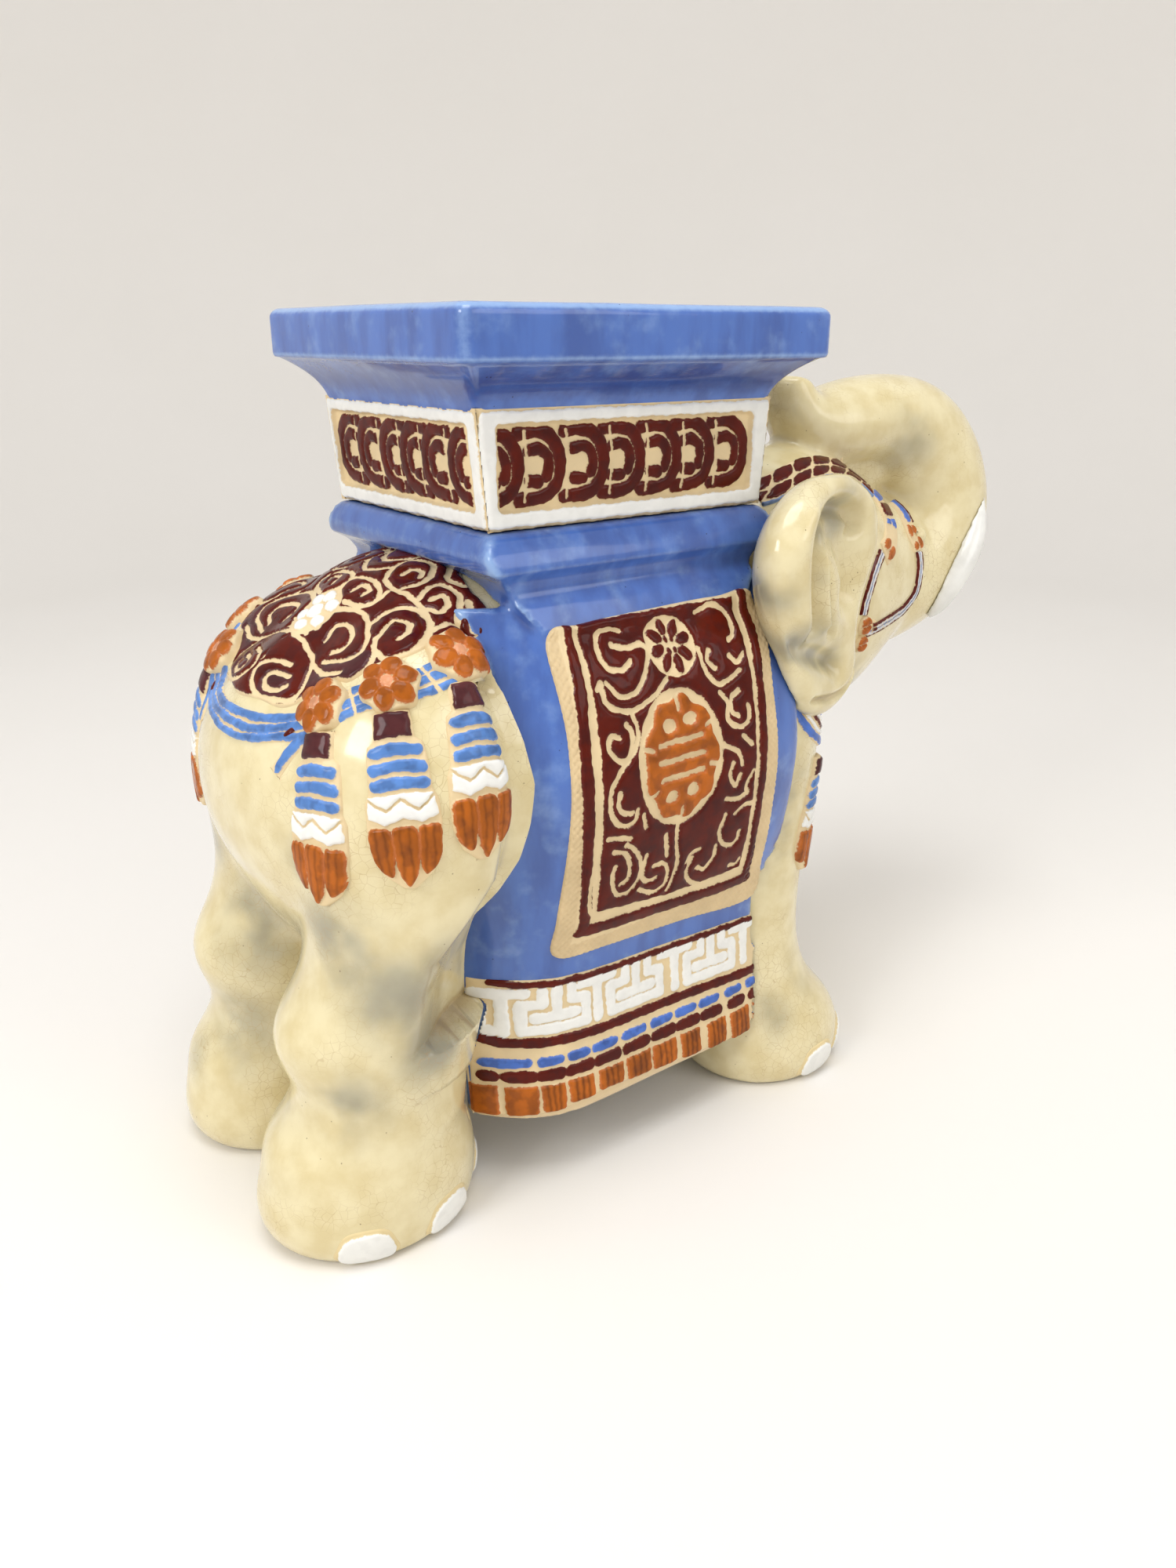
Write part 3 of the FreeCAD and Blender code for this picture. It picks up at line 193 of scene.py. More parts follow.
class Effects:
    """The glaze effects that several finishes share, each a node group built once."""

    def __init__(self) -> None:
        """Builds every group."""
        self.crackle = self._crackle()
        self.hand = self._hand()
        self.pool = self._pool()

    @staticmethod
    def _group(name: str, inputs: dict[str, float], outputs: Sequence[str]) -> tuple[Graph, Node, Node]:
        """Makes an empty group of numbers in and numbers out.

        Args:
            name: the group's name.
            inputs: the default of each input.
            outputs: the name of each output.
        Returns:
            Its graph, the node that its inputs come from and the one that its outputs go to.
        """
        graph = Graph(bpy.data.node_groups.new(name, "ShaderNodeTree"))
        for label, value in inputs.items():
            made = graph.tree.interface.new_socket(label, in_out="INPUT", socket_type="NodeSocketFloat")
            made.default_value = value
        for label in outputs:
            graph.tree.interface.new_socket(label, in_out="OUTPUT", socket_type="NodeSocketFloat")
        return graph, graph.add("NodeGroupInput"), graph.add("NodeGroupOutput")

    def _crackle(self) -> NodeTree:
        """Hairline crazing of the glaze: a mask of thin lines, in patches.

        Returns:
            The group.
        """
        graph, source, sink = self._group("crackle", {"Scale": 300, "Width": 0.03}, ["Lines"])
        where = graph.where()
        bent = graph.add("ShaderNodeTexNoise", {"Vector": where, "Scale": 90.0, "Detail": 2.0}).outputs["Color"]
        moved = graph.add("ShaderNodeVectorMath", {0: bent, 1: (0.004, 0.004, 0.004)},
                          operation="MULTIPLY").outputs[0]
        spot = graph.add("ShaderNodeVectorMath", {0: where, 1: moved}, operation="ADD").outputs[0]
        cells = graph.add("ShaderNodeTexVoronoi", {"Vector": spot, "Scale": source.outputs["Scale"]},
                          feature="DISTANCE_TO_EDGE")
        share = graph.math("DIVIDE", cells.outputs["Distance"], source.outputs["Width"])
        patches = graph.step(graph.noise(where, 22, 2), 0.42, 0.62)
        graph.tree.links.new(graph.times(graph.step(share, 0.0, 1.0, 1, 0), patches), sink.inputs["Lines"])
        return graph.tree

    def _hand(self) -> NodeTree:
        """The slow unevenness of pressed clay under glaze, and its iron specks.

        Returns:
            The group.
        """
        graph, source, sink = self._group("hand_made", {"Specks": 1}, ["Height", "Speck", "Tone"])
        where = graph.where()
        slow, fine = graph.noise(where, 38, 2), graph.noise(where, 420, 3)
        dots = graph.add("ShaderNodeTexVoronoi", {"Vector": where, "Scale": 260.0}, feature="F1").outputs["Distance"]
        rare = graph.step(graph.noise(where, 95, 1), 0.62, 0.66)
        speck = graph.times(graph.times(graph.step(dots, 0.05, 0.13, 1, 0), rare), source.outputs["Specks"])
        for label, value in (("Height", graph.plus(slow, graph.times(fine, 0.05))), ("Speck", speck),
                             ("Tone", graph.noise(where, 64, 4))):
            graph.tree.links.new(value, sink.inputs[label])
        return graph.tree

    def _pool(self) -> NodeTree:
        """How glaze lies in a drawn field: where it covers the clay, and where it runs thin at the rim.

        Returns:
            The group.
        """
        graph, source, sink = self._group("pool", {"Edge": 0}, ["Cover", "Thin", "Deep"])
        where = graph.where()
        edge = graph.plus(source.outputs["Edge"], graph.times(graph.minus(graph.noise(where, 620, 3), 0.5), 0.9))
        for label, value in (("Cover", graph.step(edge, -0.05, 0.3)), ("Thin", graph.step(edge, 0.25, 1.3, 1, 0)),
                             ("Deep", graph.step(graph.noise(where, 150, 2), 0.45, 0.62))):
            graph.tree.links.new(value, sink.inputs[label])
        return graph.tree


@dataclass(frozen=True)
class Finish:
    """What every fired finish has: a name, its gloss, and how deep its unevenness is."""

    name: str
    roughness: float = 0.16
    coat: float = 0.35
    specular: float = 0.4
    bump_mm: float = 0.5

    def material(self, effects: Effects) -> Material:
        """Builds the material.

        Args:
            effects: the shared node groups.
        Returns:
            The finished material.
        """
        made = bpy.data.materials.new(self.name)
        made.use_nodes = True
        graph = Graph(made.node_tree)
        shader = made.node_tree.nodes["Principled BSDF"]
        shader.inputs["Roughness"].default_value = self.roughness
        shader.inputs["Coat Weight"].default_value = self.coat
        shader.inputs["Coat Roughness"].default_value = 0.04
        shader.inputs["Specular IOR Level"].default_value = self.specular
        hand = graph.add("ShaderNodeGroup", node_tree=effects.hand)
        colour, height = self.colour(graph, effects, hand, shader)
        made.node_tree.links.new(colour, shader.inputs["Base Color"])
        bump = graph.add("ShaderNodeBump", {"Height": height, "Distance": self.bump_mm * MM, "Strength": 1.0})
        made.node_tree.links.new(bump.outputs[0], shader.inputs["Normal"])
        return made

    def colour(self, graph: Graph, effects: Effects, hand: Node, shader: Node) -> tuple:
        """The colour and height outputs; each finish gives its own."""
        raise NotImplementedError


@dataclass(frozen=True)
class HideGlaze(Finish):
    """Clear glaze over cream clay, with grey smoke, painted shade in the hollows and on the ears, and fine crazing.
    """

    light: Tint = Tint(229, 217, 176)
    mid: Tint = Tint(215, 199, 151)
    # the grey of smoke in the glaze and of painted shade, then the brown of the crazing lines and of painted shade in
    # hollows
    smoke_and_shade: Tint = Tint(138, 136, 122)
    crack: Tint = Tint(176, 148, 104)

    def colour(self, graph: Graph, effects: Effects, hand: Node, shader: Node) -> tuple:
        """Cream, toned by hand marks, greyed by smoke and painted shade where that attribute says, darkened brown in
        hollows as painted shade, crazed all over.

        Args:
            graph: the material's graph.
            effects: the shared groups.
            hand: the node of the hand-made group.
            shader: the material's main shader; not used here.
        Returns:
            The colour and height outputs.
        """
        where = graph.where()
        base = graph.mix(graph.step(hand.outputs["Tone"], 0.3, 0.72), self.light, self.mid)
        clouds = graph.step(graph.noise(where, 21, 3), 0.26, 0.66)
        smoke_and_shade = graph.times(graph.attribute("smoke_and_shade"), clouds)
        base = graph.mix(graph.step(smoke_and_shade, 0.0, 1.0, 0, 0.85), base, self.smoke_and_shade)
        # painted shade: concave places darkened brown
        base = graph.mix(graph.step(graph.attribute("hollow"), 0.1, 1.0, 0, 0.6), base, self.crack)
        lines = graph.add("ShaderNodeGroup", {"Scale": 240.0, "Width": 0.035}, node_tree=effects.crackle).outputs[0]
        base = graph.mix(graph.times(lines, 0.5), base, self.crack)
        base = graph.mix(graph.times(hand.outputs["Speck"], 0.7), base, Tint(92, 64, 44))
        return base, graph.minus(hand.outputs["Height"], graph.times(lines, 0.03))


@dataclass(frozen=True)
class ClothGlaze(Finish):
    """Blue glaze that runs thin and pale over edges, where highlight is painted too, and pools dark in the hollows,
    where shade is painted too.
    """

    mid: Tint = Tint(76, 112, 188)
    # pale blue of thin glaze and of painted highlight on edges; dark blue of runs, pools and painted shade in hollows
    pale: Tint = Tint(150, 182, 226)
    pooled_and_shade: Tint = Tint(48, 68, 134)

    def colour(self, graph: Graph, effects: Effects, hand: Node, shader: Node) -> tuple:
        """Blue by how sharp the surface is: paler with painted highlight on edges, darker with painted shade in
        hollows, with runs of darker glaze and specks.

        Args:
            graph: the material's graph.
            effects: the shared groups; not used here.
            hand: the node of the hand-made group.
            shader: the material's main shader; not used here.
        Returns:
            The colour and height outputs.
        """
        where = graph.where()
        runs = graph.add("ShaderNodeVectorMath", {0: where, 1: (1.0, 1.0, 0.25)}, operation="MULTIPLY").outputs[0]
        streak = graph.step(graph.noise(runs, 70, 4), 0.35, 0.7)
        base = graph.mix(graph.times(streak, 0.55), self.mid, self.pooled_and_shade)
        base = graph.mix(graph.times(graph.step(hand.outputs["Tone"], 0.5, 0.8), 0.35), base, self.pale)
        wear_and_light = graph.attribute("wear_and_light")
        rag = graph.plus(wear_and_light, graph.times(graph.minus(graph.noise(where, 260, 3), 0.5), 0.5))
        # hollows darkened and edges paled: glaze pooling and running thin, with painted shade and painted highlight
        base = graph.mix(graph.step(rag, -0.9, -0.2, 0.75, 0), base, self.pooled_and_shade)
        base = graph.mix(graph.step(rag, 0.25, 1.0, 0, 0.8), base, self.pale)
        base = graph.mix(graph.times(hand.outputs["Speck"], 0.85), base, Tint(24, 26, 44))
        return graph.mix(graph.attribute("bare"), base, BARE_TAN), hand.outputs["Height"]


@dataclass(frozen=True)
class WhiteGlaze(Finish):
    """Thick opaque white glaze."""

    base: Tint = WHITE

    def colour(self, graph: Graph, effects: Effects, hand: Node, shader: Node) -> tuple:
        """White with a breath of grey, and a few specks."""
        tone = graph.mix(graph.step(hand.outputs["Tone"], 0.35, 0.75), self.base, Tint(222, 222, 218))
        return graph.mix(graph.times(hand.outputs["Speck"], 0.5), tone, Tint(150, 140, 120)), hand.outputs["Height"]


@dataclass(frozen=True)
class DrawnGlaze(Finish):
    """Fields of coloured glaze between bare ridges, as the mesh's edge, glaze and ground attributes say."""

    def colour(self, graph: Graph, effects: Effects, hand: Node, shader: Node) -> tuple:
        """The field's colour where it covers, thin and warm at its rim, and bare clay between.

        Args:
            graph: the material's graph.
            effects: the shared groups.
            hand: the node of the hand-made group.
            shader: the material's main shader.
        Returns:
            The colour and height outputs.
        """
        pool = graph.add("ShaderNodeGroup", {"Edge": graph.attribute("edge")}, node_tree=effects.pool)
        glaze, ground = graph.attribute("glaze", "Color"), graph.attribute("ground", "Color")
        tone = graph.step(hand.outputs["Tone"], 0.25, 0.75, 0.78, 1.25)
        dark = graph.step(graph.add("ShaderNodeRGBToBW", {"Color": glaze}).outputs[0], 0.25, 0.6, 1, 0)
        body = graph.add("ShaderNodeHueSaturation", {"Color": glaze, "Value": tone}).outputs[0]
        bright = graph.add("ShaderNodeHueSaturation", {"Color": glaze, "Value": 1.7, "Saturation": 0.9}).outputs[0]
        body = graph.mix(graph.times(pool.outputs["Deep"], 0.3), body, (0.02, 0.008, 0.01, 1))
        body = graph.mix(graph.times(pool.outputs["Thin"], 0.4), body, bright)
        body = graph.mix(graph.plus(graph.times(dark, 0.85), 0.15), glaze, body)
        soil = graph.add("ShaderNodeHueSaturation", {"Color": ground, "Value": tone}).outputs[0]
        soil = graph.mix(0.3, ground, soil)
        cover = pool.outputs["Cover"]
        graph.tree.links.new(graph.plus(graph.times(cover, -0.26), 0.42), shader.inputs["Roughness"])
        mixed = graph.mix(cover, soil, body)
        return mixed, hand.outputs["Height"]


# ---- drawing on a panel


def curve(points: Points, closed: bool = False, parts: int = 7) -> Array:
    """A smooth line through given points.

    Args:
        points: the places it runs through.
        closed: whether it comes back to its start.
        parts: how many short runs lie between two points.
    Returns:
        The places along it, one row each.
    """
    p = np.asarray(points, float)
    if len(p) < 3:
        return p
    p = np.vstack([p[-1:], p, p[:2]]) if closed else np.vstack([2 * p[0] - p[1], p, 2 * p[-1] - p[-2]])
    t = np.linspace(0, 1, parts, endpoint=False)[:, None]
    rows = [0.5 * (2 * b + (c - a) * t + (2 * a - 5 * b + 4 * c - d) * t * t + (3 * b - a - 3 * c + d) * t ** 3)
            for a, b, c, d in zip(p[:-3], p[1:-2], p[2:-1], p[3:])]
    return np.vstack(rows + [p[-2:-1]])


def off_line(u: Array, v: Array, line: Array) -> Array:
    """How far each place lies from a line of short runs.

    Args:
        u: each place across, in mm.
        v: each place up, in mm.
        line: the line's points, in mm.
    Returns:
        The distances, in mm.
    """
    best = np.full(u.shape, 1e9)
    for (ax, ay), (bx, by) in zip(line[:-1], line[1:]):
        dx, dy = bx - ax, by - ay
        t = np.clip(((u - ax) * dx + (v - ay) * dy) / max(dx * dx + dy * dy, 1e-12), 0, 1)
        best = np.minimum(best, (u - ax - t * dx) ** 2 + (v - ay - t * dy) ** 2)
    return np.sqrt(best)


def inside_ring(u: Array, v: Array, ring: Array) -> Array:
    """How far each place lies inside a closed ring, negative outside it.

    Args:
        u: each place across, in mm.
        v: each place up, in mm.
        ring: the ring's corners, in mm.
    Returns:
        The distances, in mm.
    """
    within = np.zeros(u.shape, bool)
    for (ax, ay), (bx, by) in zip(ring, np.roll(ring, -1, 0)):
        crosses = (ay > v) != (by > v)
        within ^= crosses & (u < (bx - ax) * (v - ay) / (by - ay if by != ay else 1e-9) + ax)
    away = off_line(u, v, np.vstack([ring, ring[:1]]))
    return np.where(within, away, -away)


def unevenness(u: Array, v: Array, seed: float) -> tuple[Array, Array]:
    """The small wander of a hand-cut line at each place, in mm.

    Args:
        u: each place across, in mm.
        v: each place up, in mm.
        seed: what sets the waves apart.
    Returns:
        The shifts across and up.
    """
    a = np.sin(0.53 * u + 0.31 * v + seed) + 0.6 * np.sin(1.21 * v - 0.44 * u + 2 * seed)
    b = np.sin(0.47 * v - 0.36 * u + 1.7 * seed) + 0.6 * np.sin(1.13 * u + 0.52 * v + seed)
    return 0.22 * a, 0.22 * b


class Canvas:
    """What is drawn on a panel, in its own mm: glaze fields, each with its colour and its swell."""

    def __init__(self, u: Array, v: Array, ground: Tint = BARE_RIDGE, swell: float = 1.2) -> None:
        """Starts with bare ground everywhere.

        Args:
            u: each point's place along the panel, in mm.
            v: its place across the panel.
            ground: the clay's colour where no glaze lies.
            swell: how far the glaze stands up, in mm.
        """
        wander_u, wander_v = unevenness(u, v, 1.3)
        self.u, self.v = u + wander_u, v + wander_v
        self.edge = np.full(u.shape, OUTSIDE)
        self.glaze = np.tile(np.array(ground.linear()), (u.size, 1))
        self.ground = self.glaze.copy()
        self.swell = np.full(u.shape, swell)
        self.relief = np.zeros(u.shape)

    def near(self, places: Array, margin: float) -> Array:
        """The numbers of the points within margin of those places."""
        low, high = places.min(0) - margin, places.max(0) + margin
        return np.flatnonzero((self.u > low[0]) & (self.u < high[0]) & (self.v > low[1]) & (self.v < high[1]))

    def lay(self, near: Array, inside: Array, tint: Tint, swell: float | None = None) -> None:
        """Lays a field of glaze.

        Args:
            near: the points it is worked out for.
            inside: how far inside the field each of them is.
            tint: the glaze.
            swell: how far its middle stands up, in mm.
        """
        wins = inside > self.edge[near]
        self.edge[near] = np.where(wins, inside, self.edge[near])
        self.glaze[near[wins]] = tint.linear()
        if swell is not None:
            self.swell[near[wins]] = swell

    def line(self, points: Points, half: float, tint: Tint, smooth: bool = True, swell: float | None = None) -> None:
        """Lays a stroke of glaze of that half width through the points.

        Args:
            points: the places it runs through, in mm.
            half: half its width, in mm.
            tint: the glaze.
            smooth: whether the places are joined in a curve.
            swell: how far its middle stands up, in mm.
        """
        run = curve(points) if smooth else np.asarray(points, float)
        near = self.near(run, half + MARGIN)
        self.lay(near, half - off_line(self.u[near], self.v[near], run), tint, swell)

    def ring(self, points: Points, tint: Tint, smooth: bool = True, swell: float | None = None) -> None:
        """Lays glaze inside a closed ring.

        Args:
            points: the ring's places, in mm.
            tint: the glaze.
            smooth: whether they are joined in a curve.
            swell: how far its middle stands up, in mm.
        """
        run = curve(points, True) if smooth else np.asarray(points, float)
        near = self.near(run, MARGIN)
        self.lay(near, inside_ring(self.u[near], self.v[near], run), tint, swell)

    def oval(self, centre: tuple, radii: tuple, tint: Tint, turn: float = 0, swell: float | None = None) -> None:
        """Lays an oval of glaze, turned by that many degrees."""
        near = self.near(np.array([centre]), max(radii) + MARGIN)
        self.lay(near, self.in_oval(near, centre, radii, turn), tint, swell)

    def in_oval(self, near: Array, centre: tuple, radii: tuple, turn: float) -> Array:
        """About how far inside an oval those points are.

        Args:
            near: the numbers of those points.
            centre: the oval's middle, in mm.
            radii: half its width and half its height, in mm.
            turn: how far it leans, in degrees.
        Returns:
            The distances, in mm.
        """
        c, s = math.cos(math.radians(turn)), math.sin(math.radians(turn))
        du, dv = self.u[near] - centre[0], self.v[near] - centre[1]
        return (1 - np.hypot((c * du + s * dv) / radii[0], (c * dv - s * du) / radii[1])) * min(radii)

    def cut(self, points: Points, half: float, smooth: bool = True) -> None:
        """Leaves the clay bare along a line of that half width.

        Args:
            points: the places it runs through, in mm.
            half: half its width, in mm.
            smooth: whether the places are joined in a curve.
        """
        run = curve(points) if smooth else np.asarray(points, float)
        near = self.near(run, half + MARGIN)
        self.edge[near] = np.minimum(self.edge[near], off_line(self.u[near], self.v[near], run) - half)

    def shade(self, near: Array, away: Array, half: float, depth: float) -> None:
        """Darkens the glaze along a line, given how far away from it those points are."""
        self.glaze[near] = self.glaze[near] * (1 - depth * np.exp(-(away / half) ** 2))[:, None]

    def cut_oval(self, centre: tuple, radii: tuple, turn: float = 0) -> None:
        """Leaves an oval bare."""
        near = self.near(np.array([centre]), max(radii) + MARGIN)
        self.edge[near] = np.minimum(self.edge[near], -self.in_oval(near, centre, radii, turn))

    def height(self) -> Array:
        """How far each point stands off the ground, in mm: a rounded shoulder, then a slow crown.

        Returns:
            The heights.
        """
        t = np.clip(self.edge / 1.5, 0, 1)
        shoulder = np.sqrt(np.clip(1 - (1 - t) ** 2, 0, 1))
        crown = 0.25 * (1 - np.exp(-np.clip(self.edge, 0, 9) / 3))
        return self.relief + self.swell * (shoulder + crown)


# ---- laying a panel on what carries it


@dataclass
class Carrier:
    """A surface that panels are dropped on."""

    tree: BVHTree

    @classmethod
    def of(cls, *objects: Piece) -> "Carrier":
        """A carrier of several meshes together.

        Args:
            objects: what to drop on.
        Returns:
            The carrier.
        """
        vertices, faces = [], []
        for made in objects:
            start = len(vertices)
            vertices += [v.co.copy() for v in made.data.vertices]
            faces += [tuple(start + i for i in p.vertices) for p in made.data.polygons]
        return cls(BVHTree.FromPolygons(vertices, faces))

    @classmethod
    def bare(cls, node: str) -> "Carrier":
        """A carrier of one CAD node's outer skin.

        Args:
            node: the CAD node.
        Returns:
            The carrier.
        """
        shape = merged(node)
        tree = BVHTree.FromBMesh(shape)
        shape.free()
        return cls(tree)

    def depths(self, origins: Array, inward: Array, reach: float) -> Array:
        """How far each ray goes before it meets the surface, in metres, and nan where it doesn't.

        Args:
            origins: where the rays start, in metres.
            inward: which way they go.
            reach: how far they are followed, in metres.
        Returns:
            One depth to each ray.
        """
        found = np.full(len(origins), np.nan)
        cast = self.tree.ray_cast
        for i, (start, way) in enumerate(zip(origins.tolist(), inward.tolist())):
            hit = cast(start, way, reach)
            if hit[3] is not None:
                found[i] = hit[3]
        return found

    def touch(self, origin: Sequence[float], inward: Sequence[float]) -> tuple[Array, Array]:
        """Where a ray meets the surface, and the mean normal round that place.

        Args:
            origin: where the ray starts, in metres.
            inward: which way it goes.
        Returns:
            The place and the normal.
        """
        place, normal, _, _ = self.tree.ray_cast(Vector(origin), Vector(inward).normalized(), 1.0)
        if place is None:
            place, normal, _, _ = self.tree.find_nearest(Vector(origin))
        near = [n for _, n, _, _ in self.tree.find_nearest_range(place, SPREAD)]
        mean = sum(near, Vector((0, 0, 0))) if near else normal
        return np.array(place), np.array(mean.normalized())


@dataclass
class FlatAim:
    """Parallel rays over a flat panel: where it starts, its two ways in the frame and the way in."""

    origin: tuple
    along_u: tuple
    along_v: tuple
    inward: tuple

    def rays(self, u: Array, v: Array) -> tuple[Array, Array]:
        """The start and way of the ray at each panel place."""
        start = np.array(self.origin) + MM * (u[:, None] * np.array(self.along_u)
                                              + v[:, None] * np.array(self.along_v))
        return start, np.tile(np.array(self.inward, float) / np.linalg.norm(self.inward), (len(u), 1))


class PathAim:
    """Rays onto a strip that runs along a path over the carrier: u is the way along it, v across."""

    def __init__(self, carrier: Carrier, places: Array, inward: Array, lift: float = 0.02, off: float = 0.03) -> None:
        """Settles the path on the carrier.

        Args:
            carrier: what the strip lies on.
            places: points near the path, in metres.
            inward: the way in at each of them.
            lift: how far off the surface the rays start.
            off: how far off the places the surface is looked for.
        """
        touched = [carrier.touch(p - off * w / np.linalg.norm(w), w) for p, w in zip(places, inward)]
        self.path = curve([t[0] for t in touched], parts=PATH_PARTS)
        normals = curve([t[1] for t in touched], parts=PATH_PARTS)
        self.normal = normals / np.linalg.norm(normals, axis=1)[:, None]
        runs = np.linalg.norm(np.diff(self.path, axis=0), axis=1)
        self.way = np.concatenate([[0], np.cumsum(runs)]) / MM
        tangent = np.gradient(self.path, axis=0)
        across = np.cross(self.normal, tangent)
        self.across = across / np.linalg.norm(across, axis=1)[:, None]
        self.lift = lift

    @property
    def length(self) -> float:
        """The path's length in mm."""
        return float(self.way[-1])

    def rays(self, u: Array, v: Array) -> tuple[Array, Array]:
        """The start and way of the ray at each place of the strip.

        Args:
            u: each place along the strip, in mm.
            v: each place across it, in mm.
        Returns:
            Where each ray starts, and which way it goes.
        """
        at = [np.stack([np.interp(u, self.way, row[:, k]) for k in range(3)], 1)
              for row in (self.path, self.normal, self.across)]
        normal = at[1] / np.linalg.norm(at[1], axis=1)[:, None]
        return at[0] + normal * self.lift + at[2] * (v * MM)[:, None], -normal


def spot_aim(carrier: Carrier, origin: Sequence[float], inward: Sequence[float], up: Sequence[float]) -> FlatAim:
    """Rays onto a small patch, square to the carrier where a ray from origin meets it, with v along up.

    Args:
        carrier: what it lies on.
        origin: where the first ray starts, in metres.
        inward: which way it goes.
        up: which way is up on the patch.
    Returns:
        The aim.
    """
    place, normal = carrier.touch(origin, inward)
    up = np.array(up, float) - normal * np.dot(normal, up)
    up /= np.linalg.norm(up)
    across = np.cross(up, normal)
    return FlatAim(tuple(place + normal * SPOT_LIFT), tuple(across), tuple(up), tuple(-normal))


@dataclass(frozen=True)
class Lay:
    """How a panel lies, in mm: its grid, its height, the width and depth of its rim, and how often it is evened."""

    step: float = 0.55
    lift: float = 0.6
    rim: float = 1.5
    sink: float = 0.9
    ease: int = 3


@dataclass
class Panel:
    """A glazed layer in relief: a fine grid dropped on its carrier and raised by what is drawn on it."""

    name: str
    nodes: tuple[str, ...]
    slot: str
    aim: FlatAim | PathAim
    span_u: tuple[float, float]
    span_v: tuple[float, float]
    outline: Outline
    draw: Callable[[Canvas], None]
    carrier: Carrier | None = None
    lay: Lay = Lay()
    ground: Tint = BARE_RIDGE
    swell: float = 1.2
    reach: float = 0.35

    def build(self, material: Material, paired: bool = True) -> list[Piece]:
        """Builds the panel.

        Args:
            material: its finish.
            paired: whether the right one is mirrored to the left; otherwise it is built once.
        Returns:
            The finished objects.
        """
        mesh = self._mesh()
        made = [self._place(mesh, f"{self.name}_glazed_right" if paired else self.name, self.nodes, material)]
        if paired:
            twin = mesh.copy()
            shape = bmesh.new()
            shape.from_mesh(twin)
            mirror(shape)
            shape.to_mesh(twin)
            shape.free()
            nodes = tuple(n.replace("_right", "_left") for n in self.nodes)
            made.append(self._place(twin, f"{self.name}_glazed_left", nodes, material))
        return made

    def _place(self, mesh: Mesh, name: str, nodes: tuple[str, ...], material: Material) -> Piece:
        """Makes the object, rides it on the stool's body and hides the CAD nodes that it stands for.

        Args:
            mesh: the finished mesh.
            name: the object's name.
            nodes: the CAD nodes that it stands for.
            material: its finish.
        Returns:
            The object.
        """
        mesh.name = name
        mesh.materials.clear()
        mesh.materials.append(material)
        return register(bpy.data.objects.new(name, mesh), nodes)

    def _mesh(self) -> Mesh:
        """Makes the grid, drops it, raises it and drops what lies outside the outline.

        Returns:
            The mesh.
        """
        (u0, u1), (v0, v1), lay = self.span_u, self.span_v, self.lay
        nu, nv = max(2, round((u1 - u0) / lay.step)), max(2, round((v1 - v0) / lay.step))
        shape = bmesh.new()
        bmesh.ops.create_grid(shape, x_segments=nu, y_segments=nv, size=1)
        flat = np.array([v.co[:2] for v in shape.verts])
        u = u0 + (flat[:, 0] + 1) / 2 * (u1 - u0)
        v = v0 + (flat[:, 1] + 1) / 2 * (v1 - v0)
        order = np.lexsort((np.round(u, 6), np.round(v, 6)))
        back = np.argsort(order)
        start, way = self.aim.rays(u[order], v[order])
        depth = np.zeros(len(u)) if self.carrier is None else self.carrier.depths(start, way, self.reach)
        place = start + way * self._even(depth.reshape(nv + 1, nu + 1)).reshape(-1, 1)
        normal, turned = self._normals(place.reshape(nv + 1, nu + 1, 3), way)
        canvas = Canvas(u[order], v[order], self.ground, self.swell)
        self.draw(canvas)
        inside = self.outline(u[order], v[order])
        share = np.clip(inside / lay.rim, 0, 1)
        share = share * share * (3 - 2 * share)
        height = (lay.lift + canvas.height()) * share - lay.sink * (1 - share)
        place = place + normal * (height * MM)[:, None]
        keep = (inside > -1.2 * lay.step) & ~np.isnan(place).any(1)
        flip = bool(np.mean(turned[keep]) > 0.5)
        place, keep_back = place[back], keep[back]
        for vertex, co in zip(shape.verts, place.tolist()):
            if not math.isnan(co[0]):
                vertex.co = co
        gone = [vertex for vertex, kept in zip(shape.verts, keep_back) if not kept]
        bmesh.ops.delete(shape, geom=gone, context="VERTS")
        if flip:
            bmesh.ops.reverse_faces(shape, faces=shape.faces)
        mesh = bpy.data.meshes.new(self.name)
        shape.to_mesh(mesh)
        shape.free()
        kept = back[np.flatnonzero(keep_back)]
        for name in ("edge", "glaze", "ground"):
            write_attribute(mesh, name, getattr(canvas, name)[kept])
        mesh.polygons.foreach_set("use_smooth", [True] * len(mesh.polygons))
        return mesh

    @staticmethod
    def _normals(board: Array, way: Array) -> tuple[Array, Array]:
        """Each grid point's normal against its ray, and whether it had to be turned round.

        Args:
            board: the grid's places.
            way: which way each ray goes.
        Returns:
            The normals, and one truth value to each.
        """
        filled = np.where(np.isnan(board), 0, board)
        normal = np.cross(np.gradient(filled, axis=1), np.gradient(filled, axis=0)).reshape(-1, 3)
        normal /= np.maximum(np.linalg.norm(normal, axis=1), 1e-12)[:, None]
        turned = np.sum(normal * way, 1) > 0
        normal[turned] *= -1
        return normal, turned

    def _even(self, depth: Array) -> Array:
        """Evens out the carrier's facets, leaving places where nothing was met.

        Args:
            depth: the grid of depths, in metres.
        Returns:
            The evened grid.
        """
        met = ~np.isnan(depth)
        value, weight = np.where(met, depth, 0), met.astype(float)
        for _ in range(self.lay.ease):
            for axis in (0, 1):
                value = np.pad(value, 1, mode="edge")
                weight = np.pad(weight, 1, mode="edge")
                value = (np.roll(value, 1, axis) + 2 * value + np.roll(value, -1, axis))[1:-1, 1:-1]
                weight = (np.roll(weight, 1, axis) + 2 * weight + np.roll(weight, -1, axis))[1:-1, 1:-1]
                value, weight = value / 4, weight / 4
        return np.where(met, value / np.maximum(weight, 1e-9), np.nan)


